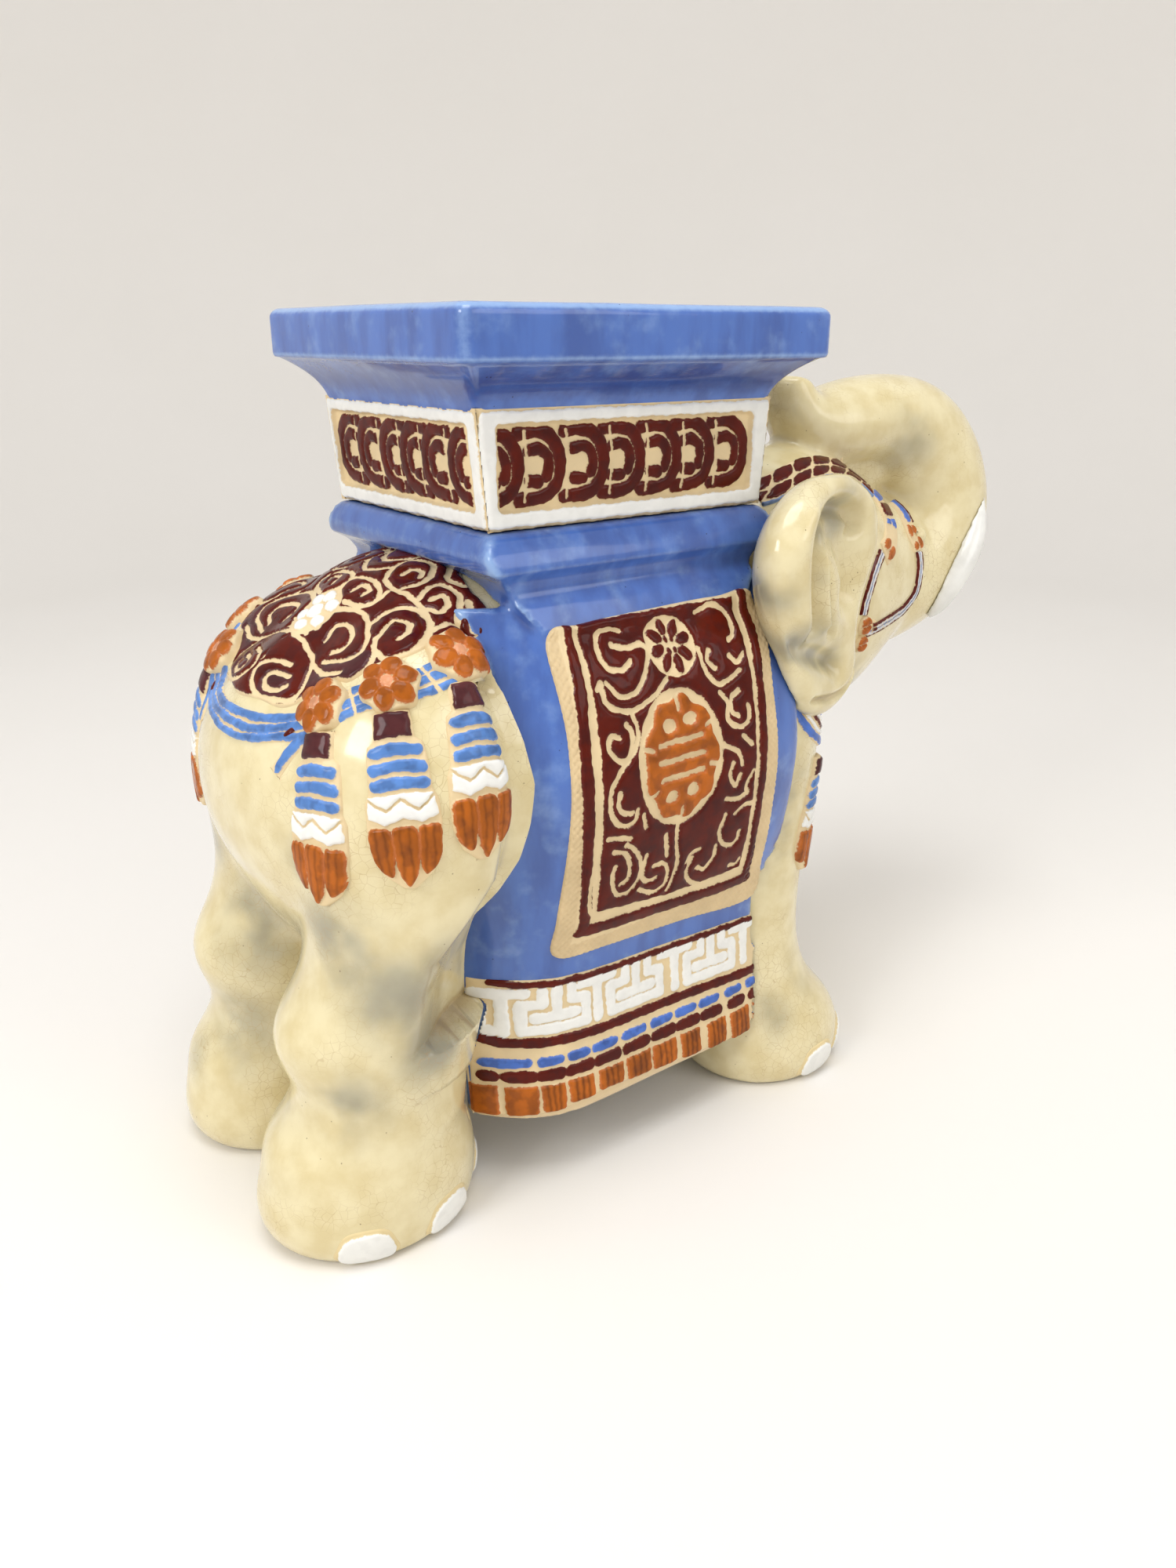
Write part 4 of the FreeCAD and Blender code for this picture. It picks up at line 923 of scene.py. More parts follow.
def write_attribute(mesh: Mesh, name: str, values: Array) -> None:
    """Writes one value, or one colour, to each vertex.

    Args:
        mesh: the mesh.
        name: the attribute's name.
        values: one value or colour to each vertex.
    """
    values = np.asarray(values, np.float32)
    kind, key = ("FLOAT", "value") if values.ndim == 1 else ("FLOAT_COLOR", "color")
    mesh.attributes.new(name, kind, "POINT").data.foreach_set(key, values.ravel())


def register(made: Piece, nodes: Sequence[str] = ()) -> Piece:
    """Links a finished object, rides it on the stool's one body and hides the CAD nodes that it replaces.

    Args:
        made: the object, at the origin.
        nodes: the CAD nodes that it replaces.
    Returns:
        The same object.
    """
    if made.name not in bpy.context.scene.collection.objects:
        bpy.context.scene.collection.objects.link(made)
    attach(made, "root")
    if nodes:
        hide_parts(*nodes)
    LOG.info("built %s: %d vertices", made.name, len(made.data.vertices))
    return made


def in_box(u: Array, v: Array, half_u: float, low: float, high: float, middle: float = 0, corner: float = 0) -> Array:
    """How far each place lies inside an upright rectangle with rounded corners."""
    du, dv = np.abs(u - middle) - half_u + corner, np.abs(v - (low + high) / 2) - (high - low) / 2 + corner
    return corner - np.hypot(np.maximum(du, 0), np.maximum(dv, 0)) - np.minimum(np.maximum(du, dv), 0)


def in_strip(u: Array, v: Array, half: float, length: float, before: float = 0, after: float = 0) -> Array:
    """How far each place lies inside a strip that starts before 0 and ends after its length."""
    return np.minimum(np.minimum(half - np.abs(v), u + before), length + after - u)


def flank_aim() -> FlatAim:
    """Rays straight in on the right flank, in mm along from the seat's middle and mm up."""
    return FlatAim((SEAT_X, -0.2, 0), (1, 0, 0), (0, 0, 1), (0, 1, 0))


def ring_outline(points: Points, smooth: bool = True) -> Outline:
    """The outline of a closed ring."""
    return partial(inside_ring, ring=curve(points, True) if smooth else np.asarray(points, float))


# ---- merged and remeshed clay bodies


def merged(*nodes: str, doors: Callable[[Vector], bool] | None = None) -> Shape:
    """Copies CAD nodes into one shape with their loose triangles joined.

    Args:
        nodes: the CAD nodes.
        doors: says which face middles belong to an opening that is closed here.
    Returns:
        The shape, holding the outer skin of each node.
    """
    whole = bmesh.new()
    for node in nodes:
        part = bmesh.new()
        part.from_mesh(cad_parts[node].data)
        bmesh.ops.remove_doubles(part, verts=part.verts, dist=1e-6)
        if doors:
            gone = [f for f in part.faces if doors(f.calc_center_median())]
            bmesh.ops.delete(part, geom=gone, context="FACES")
        keep_widest(part)
        rims = [e for e in part.edges if e.is_boundary]
        if rims:
            bmesh.ops.holes_fill(part, edges=rims, sides=0)
        mesh = bpy.data.meshes.new("part")
        part.to_mesh(mesh)
        part.free()
        whole.from_mesh(mesh)
        bpy.data.meshes.remove(mesh)
    return whole


def mirror(shape: Shape) -> None:
    """Turns a shape of the right side into its twin on the left."""
    bmesh.ops.scale(shape, vec=(1, -1, 1), verts=shape.verts)
    bmesh.ops.reverse_faces(shape, faces=shape.faces)


def soften(shape: Shape) -> None:
    """Smooths the shape once."""
    bmesh.ops.smooth_vert(shape, verts=shape.verts, factor=0.5, use_axis_x=True, use_axis_y=True, use_axis_z=True)


def grow(shape: Shape, edges: list) -> tuple[list, list]:
    """Extrudes an open rim and returns the new rim's edges and vertices."""
    grown = bmesh.ops.extrude_edge_only(shape, edges=edges)["geom"]
    return ([g for g in grown if isinstance(g, bmesh.types.BMEdge)],
            [g for g in grown if isinstance(g, bmesh.types.BMVert)])


def keep_widest(shape: Shape) -> None:
    """Drops every loose part but the one with the widest box.

    Args:
        shape: the shape; its other parts are deleted.
    """
    shape.verts.ensure_lookup_table()
    seen, best, best_size = set(), None, -1.0
    for seed in shape.verts:
        if seed in seen:
            continue
        group, todo = {seed}, [seed]
        while todo:
            for edge in todo.pop().link_edges:
                for vertex in edge.verts:
                    if vertex not in group:
                        group.add(vertex)
                        todo.append(vertex)
        seen |= group
        co = np.array([v.co for v in group])
        wide = float(np.linalg.norm(co.max(0) - co.min(0)))
        if wide > best_size:
            best, best_size = group, wide
    bmesh.ops.delete(shape, geom=[v for v in shape.verts if v not in best], context="VERTS")


def remeshed(shape: Shape, voxel: float, passes: int) -> Shape:
    """Fuses overlapping bodies into one even skin, and softens it.

    Args:
        shape: the bodies; it is freed.
        voxel: the skin's mesh size in metres.
        passes: how many times the skin is smoothed.
    Returns:
        The new shape.
    """
    mesh = bpy.data.meshes.new("raw")
    shape.to_mesh(mesh)
    shape.free()
    rough = bpy.data.objects.new("raw", mesh)
    bpy.context.scene.collection.objects.link(rough)
    modifier = rough.modifiers.new("even", "REMESH")
    modifier.mode, modifier.voxel_size = "VOXEL", voxel
    even = bpy.data.meshes.new_from_object(rough.evaluated_get(bpy.context.evaluated_depsgraph_get()))
    bpy.data.objects.remove(rough)
    bpy.data.meshes.remove(mesh)
    fused = bmesh.new()
    fused.from_mesh(even)
    bpy.data.meshes.remove(even)
    keep_widest(fused)
    for _ in range(passes):
        soften(fused)
    bmesh.ops.recalc_face_normals(fused, faces=fused.faces)
    return fused


def sharpness(shape: Shape, scale: float, passes: int = 4) -> Array:
    """How sharply the surface bends out (above 0) or in (below 0) at each vertex.

    Args:
        shape: the surface.
        scale: the bend that counts as 1, in metres.
        passes: how many times the result is spread to its neighbours.
    Returns:
        One value for each vertex.
    """
    shape.verts.ensure_lookup_table()
    shape.verts.index_update()
    shape.normal_update()
    co = np.array([v.co for v in shape.verts])
    normal = np.array([v.normal for v in shape.verts])
    ends = np.array([(e.verts[0].index, e.verts[1].index) for e in shape.edges])
    bend = np.sum((co - neighbour_mean(co, ends)) * normal, 1) / scale
    for _ in range(passes):
        bend = 0.5 * (bend + neighbour_mean(bend, ends))
    return bend


def neighbour_mean(values: Array, ends: Array) -> Array:
    """The mean of each vertex's neighbours, given the two ends of every edge.

    Args:
        values: one value or row to each vertex.
        ends: the vertices at the two ends of every edge.
    Returns:
        One mean to each vertex.
    """
    count = np.bincount(ends.ravel(), minlength=len(values)).astype(float)
    total = np.zeros_like(values)
    np.add.at(total, ends[:, 0], values[ends[:, 1]])
    np.add.at(total, ends[:, 1], values[ends[:, 0]])
    return total / np.maximum(count, 1).reshape((-1,) + (1,) * (values.ndim - 1))


def finished(shape: Shape, name: str, material: Material) -> Piece:
    """Turns a shape into a smooth-shaded object with its material; the shape is freed.

    Args:
        shape: the shape.
        name: the object's name.
        material: its finish.
    Returns:
        The object.
    """
    mesh = bpy.data.meshes.new(name)
    shape.to_mesh(mesh)
    shape.free()
    mesh.polygons.foreach_set("use_smooth", [True] * len(mesh.polygons))
    mesh.materials.append(material)
    return bpy.data.objects.new(name, mesh)


def stool(x: float, y: float, z: float) -> Array:
    """A place given in mm from the seat's middle, as metres in the frame."""
    return np.array([x - SEAT_LEAD, y, z]) * MM


def folded(vertex: bmesh.types.BMVert) -> tuple[float, float, float]:
    """A vertex's place in mm from the seat's middle, with both flanks folded onto one."""
    return vertex.co.x / MM + SEAT_LEAD, abs(vertex.co.y) / MM, vertex.co.z / MM


def clamp(value: float) -> float:
    """The value held between 0 and 1."""
    return min(max(value, 0), 1)


# ---- the animal


@dataclass
class Hide:
    """The animal's glazed skin: torso, legs, head and trunk in one casting."""

    voxel: float = 0.0027
    passes: int = 10
    # the steam hole under the belly is closed below this height: radius and height in mm
    vent_radius: float = 12.6
    vent_top: float = 140
    # the rump's upper corners lose this much
    corner: tuple = (-150, 36, 284)
    corner_reach: float = 36
    corner_depth: float = 6
    # clay that joins the trunk's curl to the brow
    curl: tuple = (233, 0, 328)
    curl_radii: tuple = (26, 13, 14)
    # grey smoke in the glaze, with painted shade among the places: place in mm, radius and strength, on the right
    # flank and mirrored to the left
    smoke_and_shade: tuple = (
        (-160, -72, 160, 26, 1.0), (-150, -95, 140, 24, 1.0), (-128, -100, 110, 26, 1.0), (-130, -104, 150, 20, 0.8),
        (-172, -60, 200, 16, 0.7), (-100, -103, 186, 18, 0.5), (-171, -81, 84, 22, 0.9), (-190, -50, 50, 18, 0.6),
        (-164, -24, 130, 30, 0.9), (-180, -30, 70, 26, 0.8), (78, -101, 45, 16, 0.9), (90, -100, 170, 26, 0.9),
        (85, -102, 140, 22, 0.8), (112, -94, 64, 16, 0.7), (250, -20, 352, 24, 0.8), (196, -45, 214, 22, 0.9),
        (150, -60, 230, 22, 0.7), (160, -58, 300, 16, 0.5), (-110, -60, 60, 20, 0.7), (120, -60, 215, 26, 0.8),
    )

    # edge of the thigh on the saddle cloth: height and place in mm, and how far the thigh swells over it
    thigh_edge: tuple = (
        (54, -104), (77, -104), (94, -103), (113, -101.5), (135, -101.7), (151, -96.1), (168, -88), (186, -81.6),
        (204, -78.2), (223, -76.1), (242, -78.2), (260, -81.9), (278, -85.8), (296, -91.5),
    )
    swell: float = 4.0
    roll: float = 5.5
    # how far behind the edge the thigh is free again, by height
    free: tuple = ((150, 48), (185, 23))
    # where the cloth ends in front, and over what length the hide comes out from under it
    front: float = 86
    front_ease: float = 24
    # the stretch that is worked on: heights, places and the least width
    tuck_heights: tuple = (42, 300)
    tuck_places: tuple = (-150, 112)
    tuck_width: float = 55
    # how deep the belly lies under the cloth
    under: float = 2.6
    # a bend in metres that makes a full hollow
    sharp: float = 0.0006

    def build(self, material: Material, flank: Carrier) -> Piece:
        """Fuses the body, head and trunk, softens them and marks smoke, painted shade and the hollows that are
        darkened as painted shade.

        Args:
            material: the glaze.
            flank: the saddle cloth that the thighs swell over.
        Returns:
            The hide.
        """
        whole = merged("body_shell", "head_shell", "trunk", doors=self._in_vent)
        lump = bmesh.ops.create_icosphere(whole, subdivisions=3, radius=1)["verts"]
        for vertex in lump:
            vertex.co = Vector(stool(*self.curl)) + Vector([r * c * MM for r, c in zip(self.curl_radii, vertex.co)])
        shape = remeshed(whole, self.voxel, self.passes)
        self._slim(shape)
        self._tuck(shape, flank)
        bend = sharpness(shape, self.sharp)
        made = finished(shape, "hide", material)
        co = np.array([v.co for v in made.data.vertices])
        # concave places, darkened in the glaze as painted shade
        write_attribute(made.data, "hollow", np.clip(-bend, 0, 1))
        # grey smoke and painted shade round each listed place
        cloud = np.zeros(len(co))
        for x, y, z, radius, strength in self.smoke_and_shade:
            for way in (1, -1):
                away = np.linalg.norm(co - stool(x, way * y, z), axis=1) / MM
                cloud = np.maximum(cloud, strength * np.exp(-(away / radius) ** 2))
        write_attribute(made.data, "smoke_and_shade", cloud)
        return register(made, ("body_shell", "head_shell", "trunk"))

    def _in_vent(self, middle: Vector) -> bool:
        """Whether a face's middle lies in the steam hole's wall."""
        return middle.z < self.vent_top * MM and (middle - Vector((SEAT_X, 0, 0))).xy.length < self.vent_radius * MM

    def _slim(self, shape: Shape) -> None:
        """Takes a little off the upper corners of the rump.

        Args:
            shape: the mesh being made.
        """
        shape.normal_update()
        for vertex in shape.verts:
            x, y, z = folded(vertex)
            if x < -60 and z > 200:
                away = math.dist((x, y, z), self.corner) / self.corner_reach
                vertex.co -= vertex.normal * self.corner_depth * math.exp(-away ** 2) * MM

    def _tuck(self, shape: Shape, flank: Carrier) -> None:
        """Swells the thigh over the rear edge of the saddle cloth and tucks the belly under the cloth.

        Args:
            shape: the hide so far.
            flank: the saddle cloth's surface.
        """
        heights, places = np.array(self.thigh_edge).T
        (low, high), (rear, ahead_of) = self.tuck_heights, self.tuck_places
        shape.normal_update()
        for vertex in shape.verts:
            x, y, z = folded(vertex)
            behind = float(np.interp(z, heights, places)) - x
            if not (low < z < high and y > self.tuck_width and rear < x < ahead_of):
                continue
            way = math.copysign(1, vertex.co.y)
            start = Vector((min(max(x, -95), self.front - 2) * MM - SEAT_LEAD * MM, way * 0.2, vertex.co.z))
            met = flank.tree.ray_cast(start, Vector((0, -way, 0)), 0.15)[0]
            if met is None:
                continue
            stands = y - abs(met.y) / MM
            if behind < 0:
                ahead = clamp((x - self.front) / self.front_ease)
                wanted, share = min(stands, max(0.7 * behind, -self.under)), 1.0
                wanted += (stands - wanted) * ahead * ahead * (3 - 2 * ahead)
            else:
                t = min(behind / float(np.interp(z, *np.array(self.free).T)), 1)
                rise = self.swell * (1 - math.exp(-behind / self.roll))
                wanted = rise + (stands - rise) * t * t * (3 - 2 * t)
                share = clamp((way * vertex.normal.y + 0.1) / 0.3) * clamp((stands + 18) / 8) * clamp((z - 60) / 40)
            vertex.co.y += way * (wanted - stands) * share * MM


@dataclass
class Ear:
    """An ear with its hollow, its folds and its rolled rim."""

    voxel: float = 0.0014
    passes: int = 6
    middle: tuple = (106.3, -93, 284.8)
    turn: float = 16
    stand: float = 9.5
    roll: float = 11
    depth: float = 2.3
    draw_back: float = 10
    sharp: float = 0.0004
    # outline across and up from the middle, seen from outside
    outline: tuple = (
        (-11.6, 59), (-38, 51), (-56, 30), (-54.5, 5), (-39.5, -26.5), (-23, -54.5), (-2, -66), (22, -63),
        (39.5, -51.5), (40.5, -29), (48.5, -7.5), (58, 17.5), (46.5, 43.5), (15, 57.5),
    )
    # a line across and up, its half width, and how far it sinks (or stands, below 0)
    folds: tuple = (
        (((28, 32), (24, 38), (8, 42), (-10, 42), (-20, 37), (-25, 28), (-27, 18), (-26, 2), (-23, -12)), 5.5, 5.0),
        (((0, 30), (10, 26), (22, 14), (24, 0)), 13, 4.5), (((-11, 24), (-10, 8), (-7, -10), (-3, -20)), 2.6, 1.8),
        (((-18, 22), (-17, 4), (-12, -13)), 3.2, -1.4),
        (((-37, 46), (-42, 34), (-42, 16), (-37, -4), (-30, -16)), 8, -1.6),
        (((-44, -19), (-30, -24), (-13, -30), (8, -38)), 7.5, 3.6),
        (((36, -44), (25, -53.5), (8, -56), (-16, -53)), 1.6, 2.2),
    )
    # painted shade in the ear's hollow and under its folds, and grey smoke: place across and up, radius and strength
    smoke_and_shade: tuple = (
        (-56, 8, 13, 0.9), (-18, -26, 17, 1.8), (-34, -20, 12, 1.6), (4, -34, 12, 1.3), (10, 40, 16, 1.0),
        (-18, 34, 10, 0.7), (-24, 10, 7, 0.6), (-6, -54, 10, 0.6),
    )

    def build(self, material: Material) -> list[Piece]:
        """Softens and sculpts the right ear, then mirrors it.

        Args:
            material: its finish.
        Returns:
            The pieces.
        """
        shape = remeshed(merged("ear_right"), self.voxel, self.passes)
        across, up = self._sculpt(shape)
        # painted shade and grey smoke on the ear
        cloud = np.zeros(len(across))
        for a, z, radius, strength in self.smoke_and_shade:
            cloud = np.maximum(cloud, strength * np.exp(-((across - a) ** 2 + (up - z) ** 2) / radius ** 2))
        made = []
        for side in Side:
            twin = shape.copy()
            if side is Side.LEFT:
                mirror(twin)
            bend = sharpness(twin, self.sharp)
            ear = finished(twin, f"ear_{side.word}_glazed", material)
            # concave places, darkened in the glaze as painted shade
            write_attribute(ear.data, "hollow", np.clip(-bend, 0, 1))
            write_attribute(ear.data, "smoke_and_shade", cloud)
            made.append(register(ear, (f"ear_{side.word}",)))
        shape.free()
        return made

    def _sculpt(self, shape: Shape) -> tuple[Array, Array]:
        """Gives the outer face its roll and folds.

        Args:
            shape: the right ear.
        Returns:
            Each vertex's place across and up from the ear's middle, in mm.
        """
        turn = math.radians(self.turn)
        ways = np.array([(math.cos(turn), math.sin(turn), 0), (0, 0, 1), (math.sin(turn), -math.cos(turn), 0)])
        shape.normal_update()
        co = np.array([v.co for v in shape.verts]) - stool(*self.middle)
        across, up, out = (co @ ways.T).T / MM
        facing = np.clip((np.array([v.normal for v in shape.verts]) @ ways[2] - 0.1) / 0.4, 0, 1)
        inside = np.clip(inside_ring(across, up, curve(self.outline, True)) / self.roll, 0, 1)
        wanted = self.stand * np.sqrt(1 - (1 - inside) ** 2)
        shift = -self.draw_back * np.clip(across / 30, 0, 1) * np.exp(-((up + 4) / 46) ** 2)
        for points, half, depth in self.folds:
            away = off_line(across, up, curve(points)) / half
            wanted = wanted - self.depth * depth * np.exp(-away ** 2) * np.clip(inside * 2, 0, 1)
        step = (wanted - out) * facing
        for vertex, move, back in zip(shape.verts, step.tolist(), shift.tolist()):
            vertex.co += (Vector(ways[2]) * move + Vector(ways[0]) * back) * MM
        soften(shape)
        return across, up


# ---- seat, frieze and saddle cloth


@dataclass
class Saddle:
    """The blue saddle cloth: stepped plinth and hanging flaps, glazed as one."""

    voxel: float = 0.00186
    passes: int = 2
    sharp: float = 0.0002
    # height of the bare lower edge by place, and over how much the glaze ends
    foot: tuple = ((-104, 41.5), (-70, 42.5), (-45, 45.5), (-32, 46), (0, 43.5), (30, 41.5), (90, 39.7))
    foot_ease: float = 0.8
    # the cloth under the thigh: middle and half size in place and height, and thickness
    under_middle: tuple = (-75, 200)
    under_half: tuple = (22.5, 95)
    under_thick: float = 6
    # the upper rear corner that sinks: heights, least width, how far, and the lengths it comes in over
    sink_heights: tuple = (262, 306)
    sink_width: float = 50
    sink: float = 15
    sink_ease: tuple = (24, 5)

    # the flap's half width in mm by height and by place from its rear edge, as shares of its widest
    widest: float = 107.5
    by_height: tuple = (
        (38, 0.907), (60, 0.879), (80, 0.856), (105, 0.837), (125, 0.847), (150, 0.912), (185, 0.981), (211, 1),
        (230, 0.977), (250, 0.93), (270, 0.856), (296, 0.72),
    )
    by_place: tuple = ((-98, 0.68), (-92, 0.77), (-80, 0.885), (-66, 0.965), (-50, 1), (0, 1))

    def build(self, material: Material) -> Piece:
        """Fuses plinth and flaps and marks where the glaze runs thin or pools, which also paints highlight on edges
        and shade in hollows.

        Args:
            material: its finish.
        Returns:
            The piece.
        """
        whole = merged("stepped_plinth", "saddle_flap_right", "saddle_flap_left")
        for side in Side:
            self._underlay(whole, side)
        shape = remeshed(whole, self.voxel, self.passes)
        self._tuck(shape)
        bend = sharpness(shape, self.sharp)
        made = finished(shape, "saddle_cloth", material)
        co = np.array([v.co for v in made.data.vertices]) / MM
        foot = np.interp(co[:, 0] + SEAT_LEAD, *np.array(self.foot).T)
        # edges paled and hollows darkened: thin and pooled glaze, with painted highlight and painted shade
        write_attribute(made.data, "wear_and_light", np.clip(bend, -1, 1))
        write_attribute(made.data, "bare", np.clip((foot + self.foot_ease - co[:, 2]) / self.foot_ease, 0, 1))
        return register(made, ("stepped_plinth", "saddle_flap_right", "saddle_flap_left"))

    def _underlay(self, whole: Shape, side: Side) -> None:
        """Lets the cloth run on under the thigh, to the flap's own rear edge.

        Args:
            whole: the mesh being made.
            side: the flap's side.
        """
        heights, places = curve(self.by_height), curve(self.by_place)
        made = bmesh.ops.create_grid(whole, x_segments=24, y_segments=60, size=1)["verts"]
        for vertex in made:
            x, z = (m + half * share for m, half, share in zip(self.under_middle, self.under_half, vertex.co))
            out = self.widest * np.interp(z, *heights.T) * np.interp(x, *places.T)
            vertex.co = Vector(stool(x, side.value * out, z))
        faces = list({face for vertex in made for face in vertex.link_faces})
        grown = bmesh.ops.extrude_face_region(whole, geom=faces, use_keep_orig=True)["geom"]
        inner = [g for g in grown if isinstance(g, bmesh.types.BMVert)]
        bmesh.ops.translate(whole, vec=(0, -side.value * self.under_thick * MM, 0), verts=inner)

    def _tuck(self, shape: Shape) -> None:
        """Sinks the cloth's upper rear corner into the body.

        Args:
            shape: the mesh being made.
        """
        heights, places = np.array(Hide.thigh_edge).T
        low, high = self.sink_heights
        for vertex in shape.verts:
            x, y, z = folded(vertex)
            behind = float(np.interp(z, heights, places)) - x
            if low < z < high and y > self.sink_width and behind > 0:
                share = clamp((z - low) / self.sink_ease[0]) * min(behind / self.sink_ease[1], 1)
                vertex.co.y -= math.copysign(self.sink * share, vertex.co.y) * MM
                vertex.co.z -= self.sink * share * MM


@dataclass
class Seat:
    """The square seat: a rim with rounded edges over a hollow splay."""

    half_x: float = 102.5
    half_y: float = 92.5
    top: float = 420
    rim: float = 21.3
    foot: float = 379
    foot_x: float = 84.3
    foot_y: float = 70.5
    edge_round: float = 4.5
    corner: float = 6
    splay: float = 22

    def profile(self) -> list[tuple[float, float]]:
        """Height, and how far in from the full outline, from the foot up.

        Returns:
            Pairs of height and inset, in mm.
        """
        fall = self.top - self.rim
        rows = [(self.foot - 1, 1.0), (self.foot, 1.0)]
        rows += [(self.foot + (fall - self.foot) * t, 1 - 0.35 * t - 0.65 * t ** 2.4)
                 for t in np.linspace(0.08, 0.93, 12)]
        rows += [(fall - 0.9, 0.03), (fall + 0.2, 0.006)]
        rows = [(z, share * self.splay) for z, share in rows]
        rows += [(z, 0.0) for z in np.linspace(fall + 1.2, self.top - self.edge_round, 9)]
        for turn in np.linspace(0.15, 1, 6) * math.pi / 2:
            rows.append((self.top - self.edge_round * (1 - math.sin(turn)), self.edge_round * (1 - math.cos(turn))))
        return rows

    def build(self, material: Material) -> Piece:
        """Draws the rounded outline, then extrudes it up the profile and caps it.

        Args:
            material: its finish.
        Returns:
            The piece.
        """
        shape = bmesh.new()
        ring = bmesh.ops.create_circle(shape, segments=4, radius=1)["verts"]
        for vertex in ring:
            vertex.co = Vector((math.copysign(1, vertex.co.x + vertex.co.y),
                                math.copysign(1, vertex.co.y - vertex.co.x), 0))
        bmesh.ops.bevel(shape, geom=ring, affect="VERTICES", offset=self.corner / self.half_x, segments=6,
                        profile=0.5, material=-1)
        bmesh.ops.subdivide_edges(shape, edges=[e for e in shape.edges if e.calc_length() > 1], cuts=40)
        plan_x, plan_y = (shape.verts.layers.float.new(name) for name in ("plan_x", "plan_y"))
        for vertex in shape.verts:
            vertex[plan_x], vertex[plan_y] = vertex.co.x, vertex.co.y
        edges, verts = list(shape.edges), list(shape.verts)
        for number, (z, inset) in enumerate(self.profile()):
            if number:
                edges, verts = grow(shape, edges)
            for vertex in verts:
                vertex.co = self._at((vertex[plan_x], vertex[plan_y]), z, inset)
        bmesh.ops.contextual_create(shape, geom=edges)
        bmesh.ops.recalc_face_normals(shape, faces=shape.faces)
        made = finished(shape, "seat", material)
        co = np.array([v.co for v in made.data.vertices]) / MM
        made.data.polygons[len(made.data.polygons) - 1].use_smooth = False
        # painted highlight on the rim's edges and painted shade on the splay, with thin and pooled glaze
        write_attribute(made.data, "wear_and_light", self._wear_and_light(co))
        write_attribute(made.data, "bare", np.zeros(len(co)))
        return register(made, ("seat_slab",))

    def _at(self, spot: tuple[float, float], z: float, inset: float) -> Vector:
        """The place of an outline point at that height and inset.

        Args:
            spot: the place on the plan, as a share of the half sizes.
            z: the height in mm.
            inset: how far in from the full outline, in mm.
        Returns:
            The place, in metres.
        """
        below = z < self.top - self.rim
        half_x, half_y = (half - (inset * (half - foot) / self.splay if below else inset)
                          for half, foot in ((self.half_x, self.foot_x), (self.half_y, self.foot_y)))
        sag = 0.5 * math.sin(3.1 * spot[0] + 2.2 * spot[1])
        height = z - (0.35 * abs(sag) if z > 400 else 0)
        return Vector(((spot[0] * half_x - SEAT_LEAD) * MM, spot[1] * half_y * MM, height * MM))

    def _wear_and_light(self, co: Array) -> Array:
        """Where the glaze runs thin, with painted highlight: the rim's edges and corners; below them, on the splay
        under the rim, it pools, with painted shade.

        Args:
            co: the vertices, in mm.
        Returns:
            One value to each vertex.
        """
        x, y, z = np.abs(co[:, 0] + SEAT_LEAD), np.abs(co[:, 1]), co[:, 2]
        sides = np.minimum(np.abs(x - self.half_x), np.abs(y - self.half_y))
        # painted highlight with thin glaze on the rim's top edge, lower edge and corners
        top = np.exp(-((z - self.top + 1.2) / 1.8) ** 2) * (sides < 6)
        low = 0.8 * np.exp(-((z - self.top + self.rim) / 1.6) ** 2)
        corner = 0.8 * np.exp(-(np.hypot(x - self.half_x, y - self.half_y) / 5) ** 2) * (z > self.top - self.rim)
        # painted shade on the splay under the rim, with pooled glaze
        pooled_and_shade = -0.8 * np.exp(-((z - self.foot - 9) / 7) ** 2)
        return np.maximum.reduce([top, low, corner]) + pooled_and_shade


